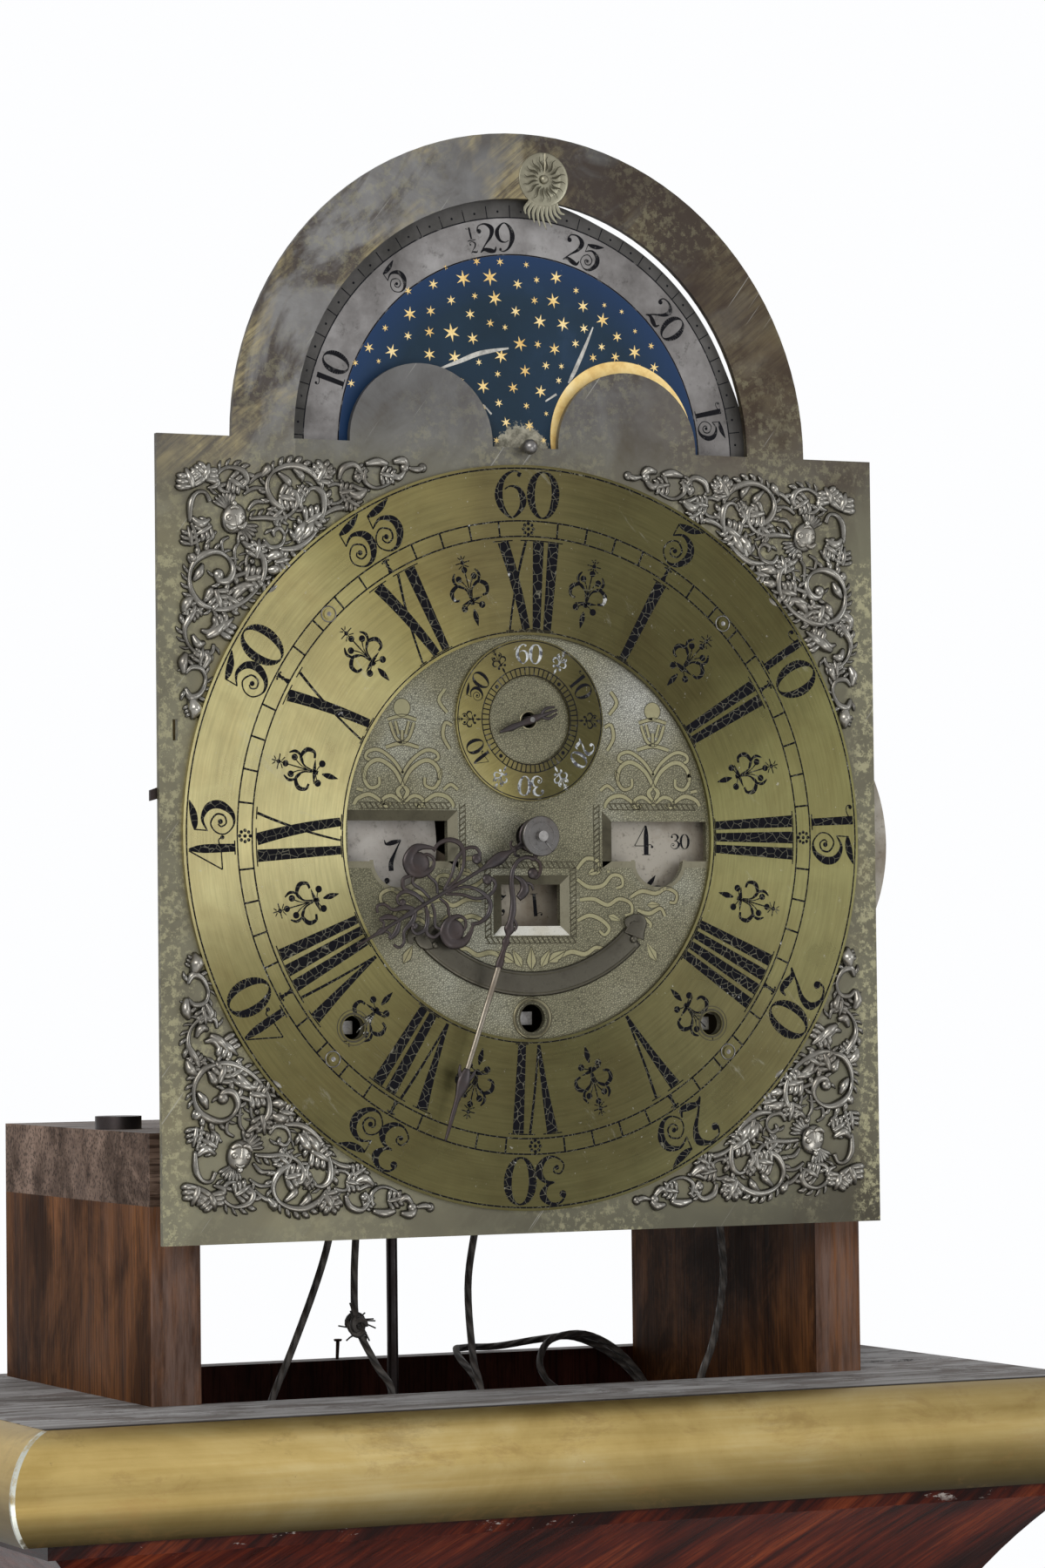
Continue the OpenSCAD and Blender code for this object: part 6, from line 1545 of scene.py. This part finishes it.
# Place, radius and height
KNOBS = ((-119, 40.4, 1.6, 2.6), (-128.4, 54.4, 2.6, 2.4), (-44, 11.2, 2, 1.6), (-114.6, 49, 1.4, 1.2),
         (-51.6, 11.4, 2.2, 2), (-99.8, 24, 2.2, 2), (-138.6, 106.4, 2.2, 2), (-138.8, 18, 2.4, 2),
         (-71.4, 15.8, 2, 2))


def spandrel(relief, place):
    """The lower left casting."""
    for points in UPRIGHT_ARM + GREAT_SCROLL + STRUTS + CORNER + LEVEL_ARM:
        points = [(x, z, w * (1.05 + .3 * math.sin(1.6 * k))) for k, (x, z, w) in enumerate(points)]
        if len(points) > 5:
            relief.frond(points, place)
        else:
            relief.sweep(points, place=place)
    for x, z, heading, length, width in ACANTHUS:
        relief.leaf(x, z, heading, length, width * 1.15, place)
    for k in range(7):
        for x, z, heading, step, reach, w in FANS:
            a = math.radians(heading + step * (k - 3))
            tips = circle(x, z, reach, w, [a]) + circle(x, z, reach + 2, .8, [a])
            relief.sweep([(x, z, 1), *tips], parts=3, place=place)
    # the boss: an oval with a few swellings and a ridge, under a crown of leaves
    relief.knob(-122, 33, 5.2, 3.2, squash=1.2, turn=20, sides=20, rings=6, place=place)
    for points in BOSS_RIDGES:
        relief.sweep(points, place=place, lift=2.4)
    for x, z, r in ((-124.4, 33, 1.5), (-119.4, 32.6, 1.5), (-122.4, 27.6, 1.3)):
        relief.knob(x, z, r, 1.2, place=place, lift=2.1)
    for x, z, r, high in KNOBS:
        relief.knob(x, z, r, high, place=place)


def add_spandrels(material):
    """The casting four times, mirrored."""
    relief = Relief(0, .68)
    centre = HANDS_AT[1]
    for sx in (1, -1):
        for sz in (1, -1):
            spandrel(relief, lambda x, z: (sx * x, z if sz > 0 else 2 * centre - z))
    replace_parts(relief.made("spandrel_castings", material, slot="cast_brass"), "spandrels")


# The hands as they stand in the photograph, turned clockwise from the top
HOUR_ANGLE, MINUTE_ANGLE, SECONDS_ANGLE = 241, 199.4, 250
HOUR_SCALE = .94
HAND_T = 1.3
# Their strokes about the origin, pointing up: (across, up, width). The hour hand's halves mirror each other
HOUR_STEM = (
    (0, 6, 3.4), (0, 9.4, 2.2), (0, 10.8, 2.6), (0, 13, 1.8), (0, 18, 5.2), (0, 23, 4), (0, 28, 1.7),
    (0, 45, 1.7), (0, 60, 1.8), (0, 63, 3), (0, 68, 1.8), (0, 76, 1.5), (0, 79, 3), (0, 82, 1.5),
    (0, 92, .8),
)
HOUR_HALF = (
    ((0, 10.6, 1), (2.2, 11.6, 1.1), (3.6, 10.2, .8)),
    ((.8, 47, 1.1), (4.6, 40.6, 1.2), (9, 36, 1.3), (10.8, 30, 1.3), (9, 25.8, 1.3), (6, 25.4, 1.4),
     (4.4, 27.4, 1.8)),
    ((.6, 46, 1), (2.4, 38, 1.2), (7, 33, 1.4), (13, 31, 1.8), (17.2, 34, 1.8), (18.4, 39, 1.5),
     (17, 43, 1.2)),
    ((17.6, 42, 1), (20.6, 46, 2), (21.6, 50, 3.4), (19, 54.6, 4.4), (14.4, 55, 4.4), (11.2, 51.4, 3),
     (11.2, 46.8, 1.6), (14, 44.4, 1.2), (17.2, 46.2, 1.2), (17, 49.2, 1.6)),
    ((1, 50, 1), (5, 48.4, 1.2), (8.6, 49.6, 1.1), (11, 50, 1)),
    ((1, 54, 1), (5.4, 55, 1.2), (10, 57.4, 1.2), (12.6, 55, 1)),
    ((.8, 57, 1.2), (5.4, 58.6, 1.8), (8.8, 61.8, 1.6), (8.6, 66, 1.2), (6, 67, 1), (4.8, 64.8, 1.2)),
    ((13, 56, 1), (13.6, 60, 1.4), (10.6, 62, 1.4), (8.6, 60.6, 1)),
    ((.6, 62, 1.4), (3.4, 65.4, 2.2), (5, 70.4, 1.3), (8.8, 72.6, 1.2), (9.6, 75.6, 1.1), (7.2, 77, 1)),
    ((.4, 70, 1), (3.6, 73.6, 2.2), (4.6, 77.6, 1)), ((.4, 78, .9), (2.6, 76.4, 1), (4.2, 77.6, .8)),
)
MINUTE_STROKES = (
    ((-.8, 6, 2.4), (-.9, 8.8, 2), (2, 9.2, 1.7), (5, 11.6, 1.8), (6.2, 16, 2), (5, 21.4, 2.1),
     (2.6, 26.4, 2.3), (1.2, 31, 2.9), (.8, 35, 2.8), (.4, 38, 4.6), (.2, 40.6, 1.9), (.2, 43, 3.4),
     (.1, 46, 2), (0, 52, 3.4), (0, 54, 2.2)),
    ((-.9, 8.6, 1.4), (-3.6, 9.6, 1.4), (-4.9, 12.6, 1.5), (-4, 15.4, 1.6), (-2, 15.2, 2)),
    ((4.8, 18, 1), (1.4, 18.6, 2.4), (-1, 21.6, 4), (.6, 25.6, 2.6)),
    ((1, 19, 1), (-2.6, 18.6, 1.2), (-4.4, 20.4, .9)), ((.6, 33, 1), (-2, 35.6, 1.4), (-1.8, 38, .8)),
    ((-3.4, 93.4, .7), (-2.8, 96, 1.6), (-1.4, 98.6, 2)), ((3.4, 93.4, .7), (2.8, 96, 1.6), (1.4, 98.6, 2)),
    ((0, 94, 2.6), (0, 98, 5.4), (0, 101.6, 5), (.3, 106, 2.4), (.2, 112, 2), (0, 118, 1.6), (0, 123, .9)),
)
SECONDS_STROKES = (
    ((0, -11.6, .9), (0, -8, 1.4), (0, -5, 2), (0, 0, 3.2), (0, 5, 2.2), (0, 9, 2.6), (0, 14.6, .8)),
    ((0, -4, 1), (2, -7, 1.3), (1.4, -11, .8)), ((0, -4, 1), (-2, -7, 1.3), (-1.4, -11, .8)),
)


def hand_strokes(hand, strokes, place, widen=1):
    for points in strokes:
        hand.sweep([(x, z, w * widen) for x, z, w in points], place=place, round_=.5)


def add_hands(material, dull, light):
    hour = Relief(HOUR_Y + HAND_T, .4)
    at = turned(HOUR_ANGLE, HANDS_AT, HOUR_SCALE)
    mirror = lambda x, z: at(-x, z)
    hand_strokes(hour, [HOUR_STEM], at)
    for points in HOUR_HALF:
        for place in (at, mirror):
            hand_strokes(hour, [points], place, 1.18)
    for place in (at, mirror):
        hour.knob(4.8, 27.6, 2.1, .8, place=place)
        hour.knob(15.6, 51.2, 4.6, .9, place=place)
        hour.knob(5.4, 65.2, 1.5, .8, place=place)
    hour.sweep(circle(0, 0, 6.1, 2.8, map(math.radians, range(0, 361, 15))), parts=1, place=at, round_=.4)
    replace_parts(hour.made("hour_hand_scrollwork", material, "hour_pipe"), "hour_hand")

    at = turned(MINUTE_ANGLE, HANDS_AT)
    minute = Relief(MINUTE_Y + HAND_T, .45)
    hand_strokes(minute, MINUTE_STROKES, at)
    minute.knob(-2.2, 14.4, 2.3, 1.2, place=at)
    minute.made("minute_hand_scrollwork", material, "centre_arbor")
    shaft = Relief(MINUTE_Y + HAND_T, .5)
    hand_strokes(shaft, [((0, 52, 2.4), (0, 60, 2.5), (0, 80, 2.3), (0, 97, 2.1))], at)
    shaft.made("minute_hand_shaft", light, "centre_arbor")
    collet = Relief(MINUTE_Y, .3)
    collet.puck(*HANDS_AT, 7.8, MINUTE_Y, MINUTE_Y - HAND_T, .4)
    at = turned(0, HANDS_AT)
    collet.sweep([(1.6, -2, .9), (3.4, -4.2, .9), (4.8, -5.9, .8)], parts=2, place=at, lift=HAND_T)
    collet.sweep(circle(0, 0, 5.4, .4, map(math.radians, range(0, 361, 12))), parts=1, place=at, lift=HAND_T)
    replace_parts(collet.made("minute_hand_collet", dull, "centre_arbor"), "minute_hand")

    seconds = Relief(SECONDS_Y + 1, .5)
    hand_strokes(seconds, SECONDS_STROKES, turned(SECONDS_ANGLE, SECONDS_AT))
    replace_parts(seconds.made("seconds_hand_filed", material, "escape_arbor"), "seconds_hand")


# How brightly the camera, reflections and all else see the white surroundings
CAMERA_SEES, GLOSS_SEES, ELSE_SEES = 1, .7, .55
# Place, aim, size, power and colour
LIGHTS = {
    "key_light": ((-2.2, -2.4, 3.2), (0, 0, 1.75), (1.6, 1.6), 55, (1, .98, .96)),
    "fill_light": ((2.4, -2.2, 2.2), (0, 0, 1.7), (1.2, 2), 18, (.95, .97, 1)),
    "low_light": ((.3, -2.6, .6), (0, 0, .8), (1.5, 1), 14, (1, 1, 1)),
}
FLOOR_REACH = 8


def add_world():
    world = bpy.data.worlds.new("world")
    bpy.context.scene.world = world
    world.use_nodes = True
    nodes, links = world.node_tree.nodes, world.node_tree.links
    back, path = nodes["Background"], nodes.new("ShaderNodeLightPath")
    back.inputs[0].default_value = (.985, .99, 1, 1)
    unseen, seen = nodes.new("ShaderNodeMix"), nodes.new("ShaderNodeMix")
    links.new(path.outputs["Is Glossy Ray"], unseen.inputs[0])
    unseen.inputs[2].default_value, unseen.inputs[3].default_value = ELSE_SEES, GLOSS_SEES
    links.new(path.outputs["Is Camera Ray"], seen.inputs[0])
    links.new(unseen.outputs[0], seen.inputs[2])
    seen.inputs[3].default_value = CAMERA_SEES
    links.new(seen.outputs[0], back.inputs[1])


def add_light(name, at, aim, size, power, colour):
    data = bpy.data.lights.new(name, "AREA")
    data.shape = "RECTANGLE"
    data.size, data.size_y = size
    data.energy = power
    data.color = colour
    made = bpy.data.objects.new(name, data)
    made.location = at
    made.rotation_euler = (Vector(aim) - Vector(at)).to_track_quat("-Z", "Y").to_euler()
    bpy.context.scene.collection.objects.link(made)


def add_stage():
    add_world()
    for name, spec in LIGHTS.items():
        add_light(name, *spec)
    mesh = bpy.data.meshes.new("floor")
    corners = [(x * FLOOR_REACH, y * FLOOR_REACH, 0) for x, y in ((-1, -1), (1, -1), (1, 1), (-1, 1))]
    mesh.from_pydata(corners, [], [(0, 1, 2, 3)])
    p = Paint("floor", Roughness=.75)
    soft = p.steps(p.noise(2, 3, .5), (.3, .8), (.7, .84))
    link("floor", mesh, p.finish(Base_Color=soft))
    bpy.context.scene.view_settings.view_transform = "Standard"


add_camera()
add_lines()
add_ironwork(metal("old_iron"))
add_dial_engraving()
add_spandrels(metal("cast_brass"))
add_hands(metal("dark_steel"), metal("hub_steel"), metal("shaft_steel"))
add_stage()
paint_nodes()
